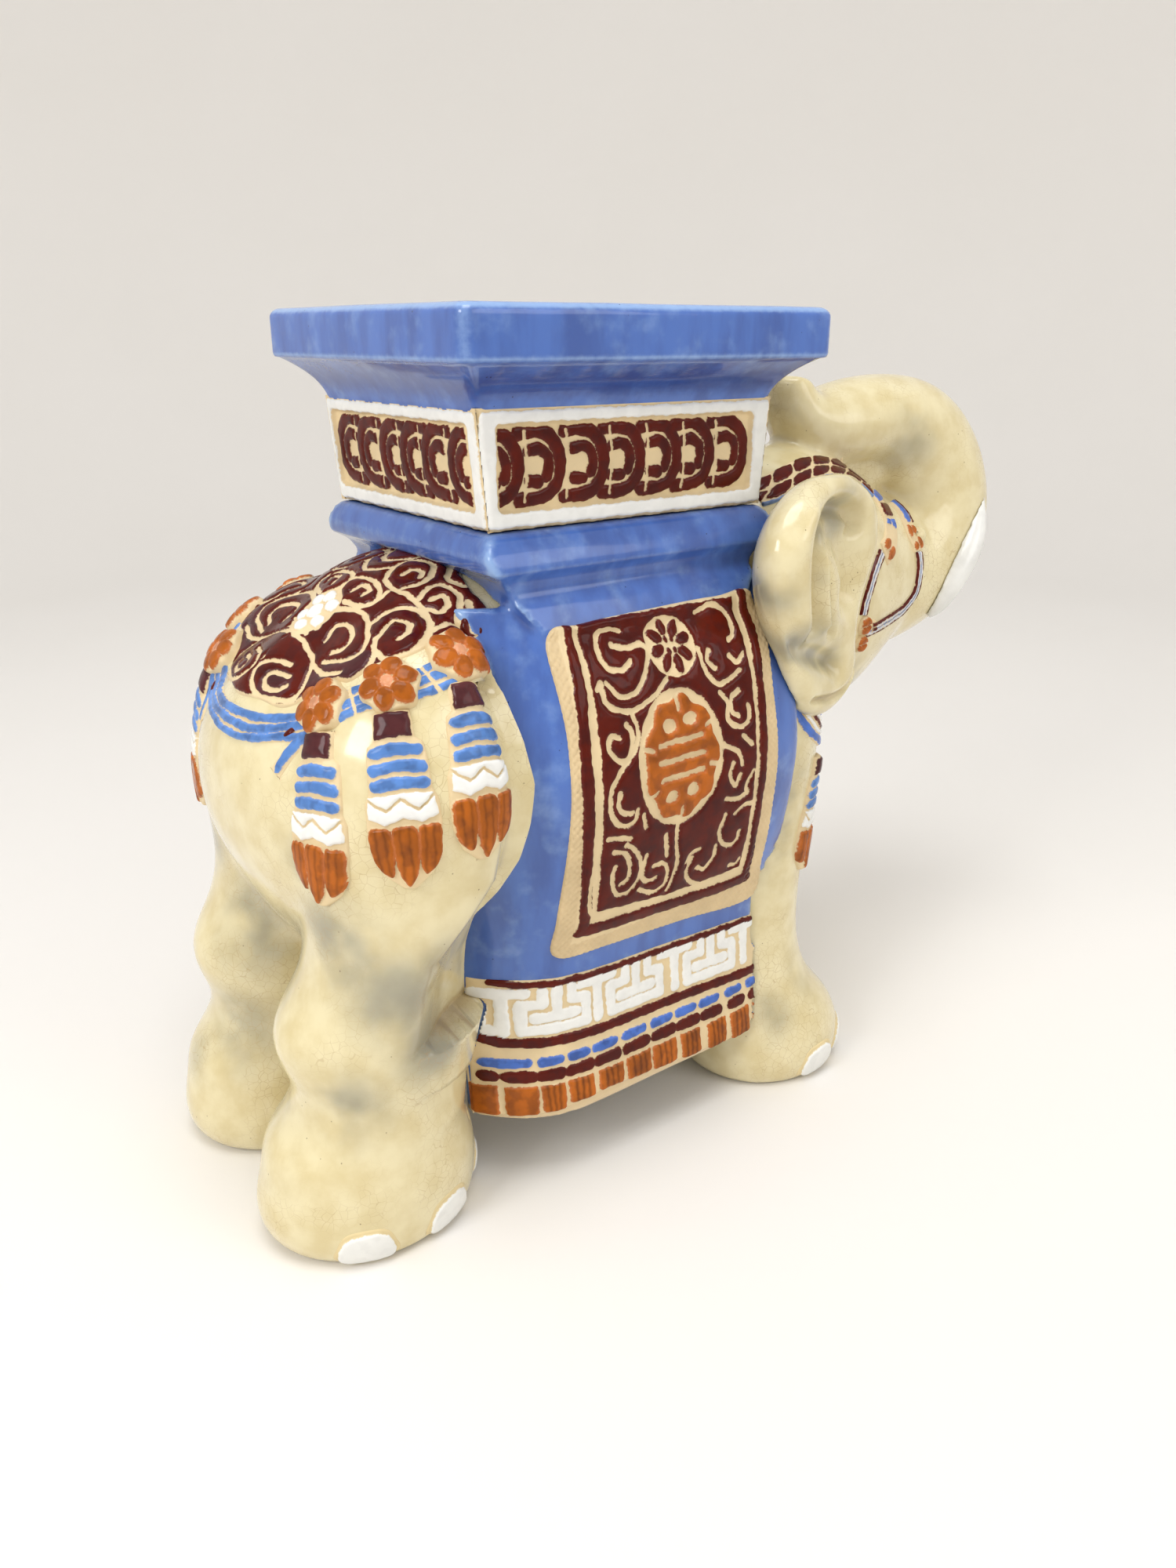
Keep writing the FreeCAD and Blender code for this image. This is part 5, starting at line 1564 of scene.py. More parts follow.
@dataclass
class FriezeFace:
    """One face of the frieze box: a white frame round a row of double arcs, in mm.

    top and foot are half its width at its upper and lower edge, half the wider of the two. bars says where
    each double arc has its back, cut where the window cuts the first one, and window where the window ends.
    """

    name: str
    nodes: tuple[str, ...]
    aim: FlatAim
    half: float
    top: float
    foot: float
    bars: tuple[float, ...]
    cut: float
    window: tuple[float, float]
    heights: tuple = (329, 379.2)
    window_heights: tuple = (337.5, 372.5)
    frame_heights: tuple = (330.4, 378.4)
    corner: float = 2
    edge_round: float = 2.6
    floor: float = 1.9

    def wide(self, v: Array) -> Array:
        """Half the face's width at each height."""
        return self.foot + (self.top - self.foot) * (v - self.heights[0]) / (self.heights[1] - self.heights[0])

    def outline(self, u: Array, v: Array) -> Array:
        """How far each place lies inside the face."""
        return self.wide(v) - 0.5 - np.abs(u)

    def rounded(self, away: Array) -> Array:
        """How far the face falls back near an edge, by how far away that edge is."""
        rest = self.edge_round - np.clip(away, 0, self.edge_round)
        return self.edge_round - np.sqrt(np.clip(self.edge_round ** 2 - rest ** 2, 0, None))

    def draw(self, canvas: Canvas) -> None:
        """Draws the sunk window with its arcs, the frame and the rounded edges.

        Args:
            canvas: the face to draw on.
        """
        u, v = canvas.u, canvas.v
        start, end = self.window
        opening = in_box(u, v, (end - start) / 2, *self.window_heights, (start + end) / 2, self.corner)
        frame_in = np.minimum(in_box(u, v, self.half - 1.3, *self.frame_heights, 0, self.corner), -opening - 0.9)
        canvas.relief = np.where(opening > -1, -self.floor * np.clip((opening + 1) / 1.2, 0, 1), 0)
        for back in self.bars:
            self.draw_arc(canvas, back)
        for here in self.bars[:-1]:
            cutting = [(here + 3.2, 369.8), (here + 4.2, 362), (here + 4.3, 355), (here + 4.2, 348.5),
                       (here + 3.0, 340.8)]
            canvas.cut(cutting, 0.6)
        near = np.flatnonzero(u < self.cut + 2)
        canvas.edge[near] = np.minimum(canvas.edge[near], u[near] - self.cut)
        canvas.edge = np.minimum(canvas.edge, opening - 0.8)
        canvas.lay(np.arange(u.size), frame_in, WHITE, 1.0)
        canvas.relief = canvas.relief - self.rounded(self.wide(v) - np.abs(u))
        canvas.relief = canvas.relief - self.rounded(v - self.heights[0])

    @staticmethod
    def draw_arc(canvas: Canvas, back: float) -> None:
        """Draws one double arc, open to the rear, and the bar inside it.

        Args:
            canvas: the face to draw on.
            back: where the arc's back lies along the face, in mm.
        """
        outer = [(back - 22, 369.3), (back - 13, 369.8), (back - 6, 367.5), (back - 1.5, 362), (back, 355),
                 (back - 1.5, 348.5), (back - 6, 343.5), (back - 13, 341.6), (back - 22, 341.4)]
        inner = [(back - 17, 361.6), (back - 11.5, 362.4), (back - 7.2, 359.5), (back - 6.2, 355),
                 (back - 7.2, 350.8)]
        for points, half in ((outer, 3.3), (inner, 2.8), ([(back - 16.5, 349), (back - 11.5, 348.6)], 2.9)):
            canvas.line(points, half, TREACLE)

    def build(self, material: Material, paired: bool) -> list[Piece]:
        """Builds the face, once or on both sides.

        Args:
            material: its finish.
            paired: whether it is built on both sides.
        Returns:
            The pieces.
        """
        low, high = self.heights
        lay = Lay(step=0.5, lift=0.0, rim=0.01, sink=0.0, ease=0)
        panel = Panel(self.name, self.nodes, "white_glaze", self.aim, (-self.half, self.half), (low, high + 0.6),
                      self.outline, self.draw, None, lay)
        return panel.build(material, paired)


@dataclass
class Frieze:
    """The white frieze box: two sides and two ends."""

    foot: float = 329
    top: float = 379.2
    half_top_x: float = 84.3
    half_foot_x: float = 79.5
    half_y: float = 70.6
    side_bars: tuple = (-63, -41, -17, 4, 26, 46.5, 69)
    end_bars: tuple = (-44, -21, -1, 19, 42, 63.5)

    def build(self, material: Material) -> list[Piece]:
        """Builds the two sides and the two ends.

        Args:
            material: its finish.
        Returns:
            The pieces.
        """
        aim = FlatAim((SEAT_X, -self.half_y * MM, 0), (1, 0, 0), (0, 0, 1), (0, 1, 0))
        side = FriezeFace("frieze_side", ("frieze_panel_right", "frieze_box"), aim, 84.3, self.half_top_x,
                          self.half_foot_x, self.side_bars, -74, (-74, 72))
        made = side.build(material, True)
        for word, way in (("rear", -1), ("front", 1)):
            lean = way * (self.half_top_x - self.half_foot_x) / (self.top - self.foot)
            start = way * self.half_foot_x * MM - SEAT_LEAD * MM - lean * self.foot * MM
            aim = FlatAim((start, 0, 0), (0, 1, 0), (lean, 0, 1), (-way, 0, 0))
            end = FriezeFace(f"frieze_{word}", (f"frieze_panel_{word}",), aim, self.half_y, self.half_y, self.half_y,
                             self.end_bars, -58, (-62, 66))
            made += end.build(material, False)
        return made


# ---- rug and hem on the flank


@dataclass
class Rug:
    """The rug on each flank: hatched clay edge, brown border, scrolled field and a fretted oval."""

    outer: tuple = (
        (-61, 284), (-62, 240), (-64, 190), (-65, 150), (-62, 126.5), (-30, 124), (20, 121.5), (72, 120), (71, 150),
        (68, 190), (66.5, 240), (67, 287), (40, 290), (0, 289.5), (-40, 288),
    )
    scrolls: tuple = (
        ((-22, 281), (-28, 283), (-34, 282), (-37, 277), (-37, 271), (-34, 267), (-27, 265.5), (-22, 268)),
        ((-29, 275.5), (-20, 273.5), (-13, 274), (-10, 271), (-13, 265), (-17, 260), (-21, 256), (-27, 254.5),
         (-33, 256), (-38, 262)),
        ((-43, 260), (-41, 262), (-40, 254), (-34, 249.5), (-27, 248), (-18, 250), (-10, 253), (-3, 258)),
        ((-31, 243), (-28.5, 238), (-30, 231), (-35, 227), (-40, 230), (-42, 235), (-40, 239), (-36, 238)),
        ((-27, 247), (-25, 240), (-27, 232), (-33, 226.5), (-39, 221), (-43, 214), (-43.5, 206), (-40, 199),
         (-33, 196), (-29, 198), (-28, 203)),
        ((-38, 213), (-39, 207), (-36, 203), (-31, 202)), ((-24, 199), (-22, 192)),
        ((25, 284), (35, 286), (42, 283), (45, 277), (44, 271), (40, 269)), ((26, 266), (24, 262), (28, 258)),
        ((20, 268), (21, 259), (27, 251), (35, 252), (43, 255)),
        ((28, 247), (32, 241), (31, 235), (34, 230.5), (41, 229), (45, 232), (45, 238)),
        ((40, 246), (35, 243), (34, 237), (38, 234)), ((24, 224), (31, 220), (37, 216), (39, 210)),
        ((33, 212), (31, 206), (35, 200), (38, 205)), ((40, 224), (46, 219)),
        ((-40, 184), (-33, 181), (-29, 174), (-29, 167), (-33, 164)),
        ((-33, 186), (-26, 180), (-22, 172), (-22, 164), (-27, 158), (-33, 158), (-37, 163), (-38.5, 170),
         (-38, 175)),
        ((-8, 184), (-5, 172)), ((-19, 176), (-20, 165), (-16, 160.5), (-10, 160.5)),
        ((-13, 168), (-7, 168), (-3, 163), (-3, 155), (-8, 152), (-14, 153), (-20, 157)),
        ((-1, 190), (0, 178), (3, 165), (1.5, 155), (0, 150)), ((17, 169), (12, 168), (10, 163)),
        ((13, 165), (11, 157), (15, 150), (22, 146.5)), ((28, 168), (28, 161), (23, 155), (18, 158)),
        ((31, 185), (29, 176), (32, 169), (38, 165), (43, 168), (43, 172)), ((38, 184), (43, 187), (49, 187)),
        ((42, 152), (46, 151), (48, 154)), ((-44, 192), (-36, 190), (-31, 189)), ((44, 194), (37, 192), (30, 194)),
        ((47, 262), (42, 259), (38, 262)), ((47, 205), (43, 199), (44, 194)),
    )

    groove: float = 1.15
    # the hatching: its inner edge at the rear, and how far apart its lines are
    hatch_edge: tuple = ((-52, 290), (-53, 250), (-54.5, 215), (-53.5, 180), (-52, 150))
    hatch: float = 3.4
    field: tuple = (
        (-44.5, 288), (-46.5, 240), (-47.5, 210), (-46.5, 175), (-44.5, 151.5), (-20, 149), (0, 146.5), (20, 146.5),
        (50, 148), (50, 165), (48.5, 200), (49, 225), (50, 250), (49.5, 288),
    )
    flower: tuple = (4.5, 271.5)
    # the brown border: rear, front and lower line, each with half its width, and the bare gap inside them
    borders: tuple = (
        (((-48.5, 288), (-50.5, 270), (-52.5, 250), (-54.5, 220), (-54, 190), (-52.5, 170), (-50.5, 150),
         (-50.5, 141.5)), 3.4),
        (((56, 288), (57, 270), (55, 250), (53.7, 220), (53.7, 190), (55, 165), (57.5, 143), (58, 139)), 3.1),
        (((-52, 141.5), (-20, 140), (10, 138.3), (40, 137.5), (59, 138.5)), 3.6),
    )
    border_gap: tuple = (
        (-46.5, 288), (-47.5, 262), (-50, 240), (-50.6, 215), (-50, 180), (-48, 152), (-30, 147.2), (0, 144.2),
        (30, 143.5), (52, 144.5), (51.5, 170), (50.3, 200), (50.3, 225), (51.8, 250), (52.6, 288),
    )
    # the fretted oval: middle, bare ground and glaze radii; round holes, slots (height, half width) and notches
    oval: tuple = (0, 221)
    oval_ground: tuple = (26.5, 32.5)
    oval_radii: tuple = (23, 29)
    oval_holes: tuple = (
        ((-6, 237.4), (3.9, 3.0)), ((7, 238.6), (4.0, 2.9)), ((-6.8, 204.2), (3.7, 3.1)), ((6.6, 205), (3.7, 3.1)),
    )
    oval_slots: tuple = ((229.5, 13), (221.3, 14), (213.2, 13))
    oval_notches: tuple = (
        ((-24, 230), (-17.5, 228)), ((24, 214), (18, 215.5)), ((-22, 206), (-16, 208)), ((22, 236), (17, 233.5)),
        ((0, 252), (1, 244)), ((0, 190), (0.5, 197)),
    )

    def build(self, carrier: Carrier, material: Material) -> list[Piece]:
        """Lays the rug on both flanks.

        Args:
            carrier: what it lies on.
            material: its finish.
        Returns:
            The pieces.
        """
        nodes = ("rug_border_right", "rug_field_right", "medallion_right")
        lay = Lay(step=0.6, lift=1.5, rim=1.8, sink=1.2, ease=6)
        return Panel("rug", nodes, "red_brown_glaze", flank_aim(), (-69, 76), (117, 293), ring_outline(self.outer),
                     self.draw, carrier, lay).build(material)

    def draw(self, canvas: Canvas) -> None:
        """Draws border, field, flower, scrolls and oval.

        Args:
            canvas: the face to draw on.
        """
        u, v = canvas.u, canvas.v
        self.draw_hatching(canvas)
        canvas.lay(np.arange(u.size), inside_ring(u, v, np.array(self.field)), TREACLE, 1.3)
        self.draw_flower(canvas)
        for points in self.scrolls:
            canvas.cut(points, self.groove)
        for points, half in self.borders:
            canvas.line(points, half, TREACLE, swell=1.4)
        canvas.cut(self.border_gap, 0.9)
        self.draw_oval(canvas)

    def draw_hatching(self, canvas: Canvas) -> None:
        """Presses a cross-hatch into the clay round the field.

        Args:
            canvas: the face to draw on.
        """
        u, v = canvas.u, canvas.v
        edge_u, edge_v = curve(self.hatch_edge)[::-1].T
        hatched = (u < np.interp(v, edge_v, edge_u) - 3) | (u > 57) | (v < 134)
        for turn in (1, -1):
            wave = (u + turn * 0.85 * v) / self.hatch
            line = np.abs(wave - np.round(wave)) * self.hatch
            canvas.relief = canvas.relief - np.where(hatched, 0.38 * np.exp(-(line / 0.42) ** 2), 0)
        canvas.ground[hatched] = BARE_TAN.linear()

    def draw_flower(self, canvas: Canvas) -> None:
        """Draws the flower over the oval: eight petals round four small ones.

        Args:
            canvas: the face to draw on.
        """
        x, z = self.flower
        canvas.cut_oval(self.flower, (14.5, 13.5))
        for turn in range(8):
            angle = math.radians(45 * turn + 12)
            centre = (x + 8.8 * math.cos(angle), z + 8.2 * math.sin(angle))
            canvas.oval(centre, (4.6, 2.7), TREACLE, math.degrees(angle), 1.1)
        for way_u, way_v in ((1, 1), (1, -1), (-1, 1), (-1, -1)):
            canvas.oval((x + 1.9 * way_u, z + 2.3 * way_v), (1.4, 1.7), TREACLE, 0, 1.1)

    def draw_oval(self, canvas: Canvas) -> None:
        """Draws the fretted oval: amber bars round slots of bare clay.

        Args:
            canvas: the face to draw on.
        """
        near = canvas.near(np.array([self.oval], float), 40)
        inside = canvas.in_oval(near, self.oval, self.oval_ground, 0)
        canvas.edge[near] = np.minimum(canvas.edge[near], -inside)
        turns = np.radians(np.arange(0, 360, 6))
        lobes = 1 + 0.045 * np.cos(9 * turns)
        (wide, high), (x, z) = self.oval_radii, self.oval
        ring = np.stack([x + wide * lobes * np.cos(turns), z + high * lobes * np.sin(turns)], 1)
        canvas.ring(ring, AMBER, True, 1.9)
        for centre, radii in self.oval_holes:
            canvas.cut_oval(centre, radii)
        for level, half in self.oval_slots:
            canvas.cut([(-half, level), (half, level + 0.4)], self.groove, False)
        for notch in self.oval_notches:
            canvas.cut(notch, 1.0, False)


@dataclass
class Hem:
    """The hem of each flap: brown lines, white key pattern, two rows of beads and a fringe."""

    # place and half width of each bead, place and width of each tab
    blue_beads: tuple = (
        (-84, 10), (-65, 6), (-50, 6), (-34, 7.5), (-15, 8), (4, 7), (21, 7), (38, 7), (56, 6), (71, 4),
    )
    brown_beads: tuple = (
        (-91, 3), (-79, 7), (-65, 6.5), (-50, 7.5), (-33, 8), (-14, 8.5), (5, 8), (22, 8), (39, 7.5), (58, 6),
        (73, 4.5),
    )
    tabs: tuple = (
        (-93, 9), (-79, 13), (-65, 11), (-50, 14), (-32, 15), (-13.5, 16), (4.5, 16), (23, 13), (42, 13), (60, 14),
        (77, 12),
    )
    lines: tuple = (
        (((-88, 115), (-70, 113), (-20, 110), (20, 108.5), (60, 107), (86, 104)), 2.0),
        (((-96, 85.5), (-90, 83), (-80, 81.5), (-40, 79.5), (0, 78.2), (40, 77), (86, 73.8)), 2.9),
    )
    foot: tuple = ((-99, 40), (-93, 40), (-70, 41), (-45, 44), (-32, 44.5), (0, 42), (30, 40), (77, 38.2), (86, 38.2))

    def build(self, carrier: Carrier, material: Material) -> list[Piece]:
        """Lays the hem on both flaps.

        Args:
            carrier: what it lies on.
            material: its finish.
        Returns:
            The pieces.
        """
        ring = [(-97, 117), (-97.5, 80), (-98, 40), *self.foot[1:], (85.5, 80), (85.5, 107), (60, 110), (20, 111.5),
                (-40, 114), (-75, 116.5)]
        nodes = ("key_band_right", "bead_rows_right", "fringe_right")
        lay = Lay(step=0.56, lift=0.5, rim=1.2, sink=0.8, ease=5)
        return Panel("hem", nodes, "white_glaze", flank_aim(), (-100, 88), (36, 119), ring_outline(ring, False),
                     self.draw, carrier, lay).build(material)

    def draw(self, canvas: Canvas) -> None:
        """Draws the lines from the top down.

        Args:
            canvas: the face to draw on.
        """
        for points, half in self.lines:
            canvas.line(points, half, TREACLE)
        self.draw_key(canvas)
        for beads, level, half, tint, back, least in (
                (self.blue_beads, 70.3, 2.8, BLUE, 1.9, 0), (self.brown_beads, 62.8, 3.4, TREACLE, 2.2, 0.2)):
            for x, wide in beads:
                reach, high = max(wide - back, least), level - 0.02 * (x + 90) * 0.8
                canvas.line([(x - reach, high), (x + reach, high)], half, tint, False)
        for x, wide in self.tabs:
            self.draw_tab(canvas, x, wide / 2 + 0.6)

    def draw_tab(self, canvas: Canvas, x: float, half: float) -> None:
        """Draws one tab of the fringe, with painted shade along its folds.

        Args:
            canvas: the face to draw on.
            x: its middle, in mm.
            half: half its width, in mm.
        """
        low, high = np.interp(x, *np.array(self.foot).T) + 0.8, 57.6 - 0.015 * (x + 93)
        ring = [(x - half, high - 0.4), (x - half + 0.8, high), (x + half - 0.8, high), (x + half, high - 0.5),
                (x + half - 0.2, low + 1.2), (x + half - 1.5, low), (x - half + 1.5, low),
                (x - half + 0.2, low + 1.2)]
        canvas.ring(ring, AMBER, False, 1.5)
        # painted shade along three folds of the tab
        if x > -70:
            for share in (-0.45, 0, 0.42):
                near = canvas.near(np.array([(x + share * half, low), (x + share * half, high)]), 1.5)
                canvas.shade(near, np.abs(canvas.u[near] - x - share * half), 0.8, 0.55)

    @staticmethod
    def draw_key(canvas: Canvas) -> None:
        """Draws the white key pattern as wide strokes with bare grooves between.

        Args:
            canvas: the face to draw on.
        """
        strokes = []
        for c in (-60, -12, 40):
            strokes += [[(c, 107), (c, 92.5)], [(c - 11, 92.5), (c + 10, 92.5)],
                        [(c - 7, 107), (c - 7, 100), (c - 17, 100), (c - 17, 86), (c + 16, 86), (c + 16, 99),
                         (c + 8, 100), (c + 8, 107)]]
        for t in (-84, -36.5, 15, 65.5):
            strokes += [[(t - 10, 106.5), (t + 9, 106.5)], [(t - 0.5, 105), (t - 0.5, 85.5)]]
        strokes += [[(-93, 99), (-93, 87), (-88, 86)], [(78, 105), (78, 86), (84, 86)]]
        for run in strokes:
            canvas.line([(x, z - 0.03 * (x + 12)) for x, z in run], 3.05, WHITE, False, 1.1)


# ---- trappings on the rump


@dataclass
class RumpCloth:
    """The scrolled cloth over the rump, with its white blossom."""

    ring: tuple = (
        (0, 18), (16, 21), (30, 23), (37, 28), (43, 37), (51, 45), (60, 48), (65, 58), (70, 66), (73, 76), (72, 88),
        (69, 97), (71, 107), (64, 116), (44, 122), (20, 134), (0, 141),
    )
    scrolls: tuple = (
        ((18, 42), (7, 39), (2, 33), (6, 26), (15, 23), (25, 25), (34, 29), (35, 36), (31, 43), (26, 49), (12, 54),
         (2, 55)),
        ((23, 37), (14, 35), (12, 31), (16, 27.5), (23, 29), (26, 33)),
        ((12, 63), (10, 72), (19, 78), (30, 79), (44, 72), (52, 64), (50, 57), (41, 53), (34, 51)),
        ((23, 60), (21, 68), (27, 71), (38, 67), (40, 60), (34, 56)),
        ((40, 76), (38, 84), (42, 91), (50, 94), (62, 90), (69, 82), (71, 74), (68, 66), (62, 65), (55, 68), (51, 76),
         (47, 83), (56, 85), (61, 81), (62, 76)),
        ((52, 71), (61, 63), (64, 56)), ((1, 85), (0, 92), (7, 96), (20, 95), (27, 89), (24, 83), (12, 80)),
        ((10, 87), (12, 92), (19, 91), (18, 87)),
        ((18, 100), (12, 109), (13, 117), (23, 120), (32, 114), (35, 106), (32, 100)),
        ((23, 106), (22, 111), (27, 113), (31, 109)),
        ((43, 99), (40, 106), (42, 112), (51, 112), (59, 105), (63, 97), (66, 88)),
        ((47, 102), (48, 107), (53, 105), (55, 99), (50, 97)),
        ((19, 99), (30, 97), (38, 98), (48, 96), (56, 93), (66, 87), (71, 80)), ((0, 100), (8, 104), (12, 108)),
        ((0, 110), (6, 113), (12, 121), (14, 130)), ((28, 124), (34, 121), (40, 116), (47, 118)),
        ((10, 75), (23, 81), (28, 88), (28, 94)), ((27, 48), (40, 46), (52, 50)), ((0, 64), (5, 62), (9, 58)),
        ((56, 112), (62, 108), (67, 103)), ((0, 38), (-4, 46), (-1, 52)),
    )

    # scrolls filled with a bluer brown, and the blossom's heart and petals with their radii
    plum: tuple = (
        ((33, 43), (42, 52), (53, 62), (59, 64), (64, 58), (62, 48), (51, 44), (40, 38)),
        ((14, 24), (10, 34), (22, 39), (30, 33), (26, 26)),
    )
    petals: tuple = (
        ((0, 70), (4.5, 4.5)), ((7, 76), (4, 3.4)), ((7.5, 66), (4, 3.6)), ((0, 79.5), (4, 3.6)),
        ((0, 60.5), (4, 3.6)),
    )

    def build(self, carrier: Carrier, material: Material) -> list[Piece]:
        """Lays the cloth over the rump, seen square from behind and above.

        Args:
            carrier: what it lies on.
            material: its finish.
        Returns:
            The pieces.
        """
        aim = FlatAim((-SEAT_LEAD * MM - 0.6 * 0.4, 0, 0.8 * 0.4), (0, -1, 0), (0.8, 0, 0.6), (0.6, 0, -0.8))
        lay = Lay(step=0.6, lift=0.9, rim=1.6, sink=0.8, ease=4)
        return Panel("rump_cloth_scrolls", ("rump_cloth",), "red_brown_glaze", aim, (-76, 76), (15, 142),
                     self._outline(), self.draw, carrier, lay, reach=0.6).build(material, False)

    def _outline(self) -> Outline:
        """The cloth's outline, both halves."""
        return ring_outline(list(self.ring) + [(-u, v) for u, v in self.ring[::-1] if u > 0])

    def draw(self, canvas: Canvas) -> None:
        """Draws the brown fields, the scrolls on both halves and the blossom.

        Args:
            canvas: the face to draw on.
        """
        both = canvas.u
        canvas.u = np.abs(both)
        canvas.lay(np.arange(both.size), self._outline()(canvas.u, canvas.v) - 1.7, TREACLE, 1.2)
        for ring in self.plum:
            canvas.glaze[inside_ring(canvas.u, canvas.v, curve(ring, True)) > 0] = PLUM.linear()
        for points in self.scrolls:
            canvas.cut(points, 1.15)
        canvas.cut_oval((0, 70), (13, 15))
        for centre, radii in self.petals:
            canvas.oval(centre, radii, WHITE, swell=1.3)
        canvas.u = both


@dataclass
class Crupper:
    """The cord round the rump with its flowers, tassels and loose ends."""

    flowers: tuple = ((-103, -79, 281), (-134, -78, 273), (-157.5, -59, 263))
    tassels: tuple = (
        ((-105, -86, 272), (-110, -107, 200)), ((-139, -87, 264), (-141, -99, 193)),
        ((-161, -64, 254), (-169, -72, 181)),
    )
    cord: tuple = (
        (-86, -80, 279), (-99, -82, 279), (-119, -83, 274.5), (-134, -80, 271), (-147, -69, 267), (-158, -58, 258),
        (-168, -42, 252), (-174, -22, 248.5), (-176, 0, 247.5),
    )
    # the loose end's path, and how far along it the dot lies
    end: tuple = ((-160, -58, 254), (-167, -51, 246), (-174, -45, 234))
    dot: float = 0.45

    def build(self, carrier: Carrier, material: Material) -> list[Piece]:
        """Lays cord, flowers, tassels and ends.

        Args:
            carrier: what it lies on.
            material: its finish.
        Returns:
            The pieces.
        """
        made = self._cord(carrier, material)
        for number, place in enumerate(self.flowers, start=1):
            made += self._flower(number, place, carrier, material)
        for number, (head, tip) in enumerate(self.tassels, start=1):
            made += Tassel(f"tassel_{number}", head, tip).build(carrier, material)
        return made + self._end(carrier, material)

    def _cord(self, carrier: Carrier, material: Material) -> list[Piece]:
        """The cord in one strip from flank to flank.

        Args:
            carrier: what it lies on.
            material: its finish.
        Returns:
            The pieces.
        """
        right = [np.array(p, float) for p in self.cord]
        whole = right + [p * (1, -1, 1) for p in right[-2::-1]]
        places = np.array([stool(*p) for p in whole])
        inward = np.array([(stool(-100, 0, 225) - p) * (1, 1, 0.4) for p in places])
        aim = PathAim(carrier, places, inward)
        lay = Lay(step=0.5, lift=0.2, rim=1.5, sink=0.6, ease=4)
        return Panel("crupper_strands", ("crupper_cord",), "blue_glaze", aim, (0, aim.length), (-9, 9),
                     partial(in_strip, half=7.6, length=aim.length),
                     partial(self.draw_cord, way=aim.way[::PATH_PARTS]), carrier, lay).build(material, False)

    @staticmethod
    def draw_cord(canvas: Canvas, way: Array) -> None:
        """Three strands, with a few ties at either end.

        Args:
            canvas: the face to draw on.
            way: how far along the cord each point of its path lies, in mm.
        """
        length = way[-1]
        for level, half in ((4.8, 1.9), (0.2, 2.1), (-4.8, 2.2)):
            runs = [(u, level + 0.5 * math.sin(u * 0.11 + level)) for u in np.linspace(-4, length + 4, 80)]
            canvas.line(runs, half, CORD_BLUE)
        for near_end in np.linspace(way[0] + 3, way[4], 7):
            for u in (near_end, length - near_end):
                canvas.cut([(u - 1, 8), (u + 1.2, -8)], 0.7)

    def _flower(self, number: int, place: tuple, carrier: Carrier, material: Material) -> list[Piece]:
        """One flower on each side.

        Args:
            number: which of the three it is, from the front.
            place: where it sits, in mm.
            carrier: what it lies on.
            material: its finish.
        Returns:
            The pieces.
        """
        start = stool(*place)
        inward = (stool(-95, 0, 240) - start) * (1, 1, 0.6)
        aim = spot_aim(carrier, start - 0.04 * inward / np.linalg.norm(inward), inward, (0, 0, 1))
        lay = Lay(step=0.42, lift=2.6, rim=1.8, sink=1.0, ease=8)
        return Panel(f"flower_{number}", (f"flower_{number}_right",), "orange_glaze", aim, (-16, 16), (-16, 16),
                     partial(self.flower_outline, number=number), partial(self.draw_flower, number=number),
                     carrier, lay).build(material)

    @staticmethod
    def flower_outline(u: Array, v: Array, number: int) -> Array:
        """How far inside the six-lobed flower each place is."""
        return 13.4 + 0.8 * np.cos(6 * np.arctan2(v, u) - math.radians(84 * number)) - np.hypot(u, v)

    @staticmethod
    def draw_flower(canvas: Canvas, number: int) -> None:
        """Puffed petals round a small heart, turned a little more on each flower.

        Args:
            canvas: the face to draw on.
            number: which of the three it is, from the front.
        """
        canvas.relief = 2.2 * np.clip(1 - (np.hypot(canvas.u, canvas.v) / 14) ** 2, 0, 1)
        for turn in range(6):
            angle = math.radians(turn * 60 + 14 * number)
            centre = (7.3 * math.cos(angle), 7.3 * math.sin(angle))
            canvas.oval(centre, (5.0, 4.2), AMBER, math.degrees(angle), 1.9)
        canvas.oval((0, 0), (2.6, 2.6), PINK_CLAY, swell=1.4)

    def _end(self, carrier: Carrier, material: Material) -> list[Piece]:
        """The loose end of the cord on each side, and the dot beside it.

        Args:
            carrier: what it lies on.
            material: its finish.
        Returns:
            The pieces.
        """
        places = np.array([stool(*p) for p in self.end])
        inward = np.array([stool(-100, 0, 225) - p for p in places]) * (1, 1, 0.2)
        aim = PathAim(carrier, places, inward)
        lay = Lay(step=0.45, lift=0.3, rim=1.2, sink=0.7, ease=4)
        return Panel("cord_end", ("cord_end_right",), "blue_glaze", aim, (-1, aim.length + 2), (-11.5, 5),
                     partial(self.end_outline, length=aim.length), partial(self.draw_end, length=aim.length),
                     carrier, lay).build(material)

    def end_outline(self, u: Array, v: Array, length: float) -> Array:
        """How far inside the loose end or its dot each place is."""
        return np.maximum(in_strip(u, v, 4.2, length, 1, 1.4), 4 - np.hypot(u - length * self.dot, v + 7))

    def draw_end(self, canvas: Canvas, length: float) -> None:
        """One tapered strand and the dot."""
        canvas.ring([(0, 3), (length - 2, 2.2), (length, 0), (length - 2, -2.2), (0, -3)], CORD_BLUE, False, 1.2)
        canvas.oval((length * self.dot, -7), (3.0, 2.1), TREACLE, swell=1.4)


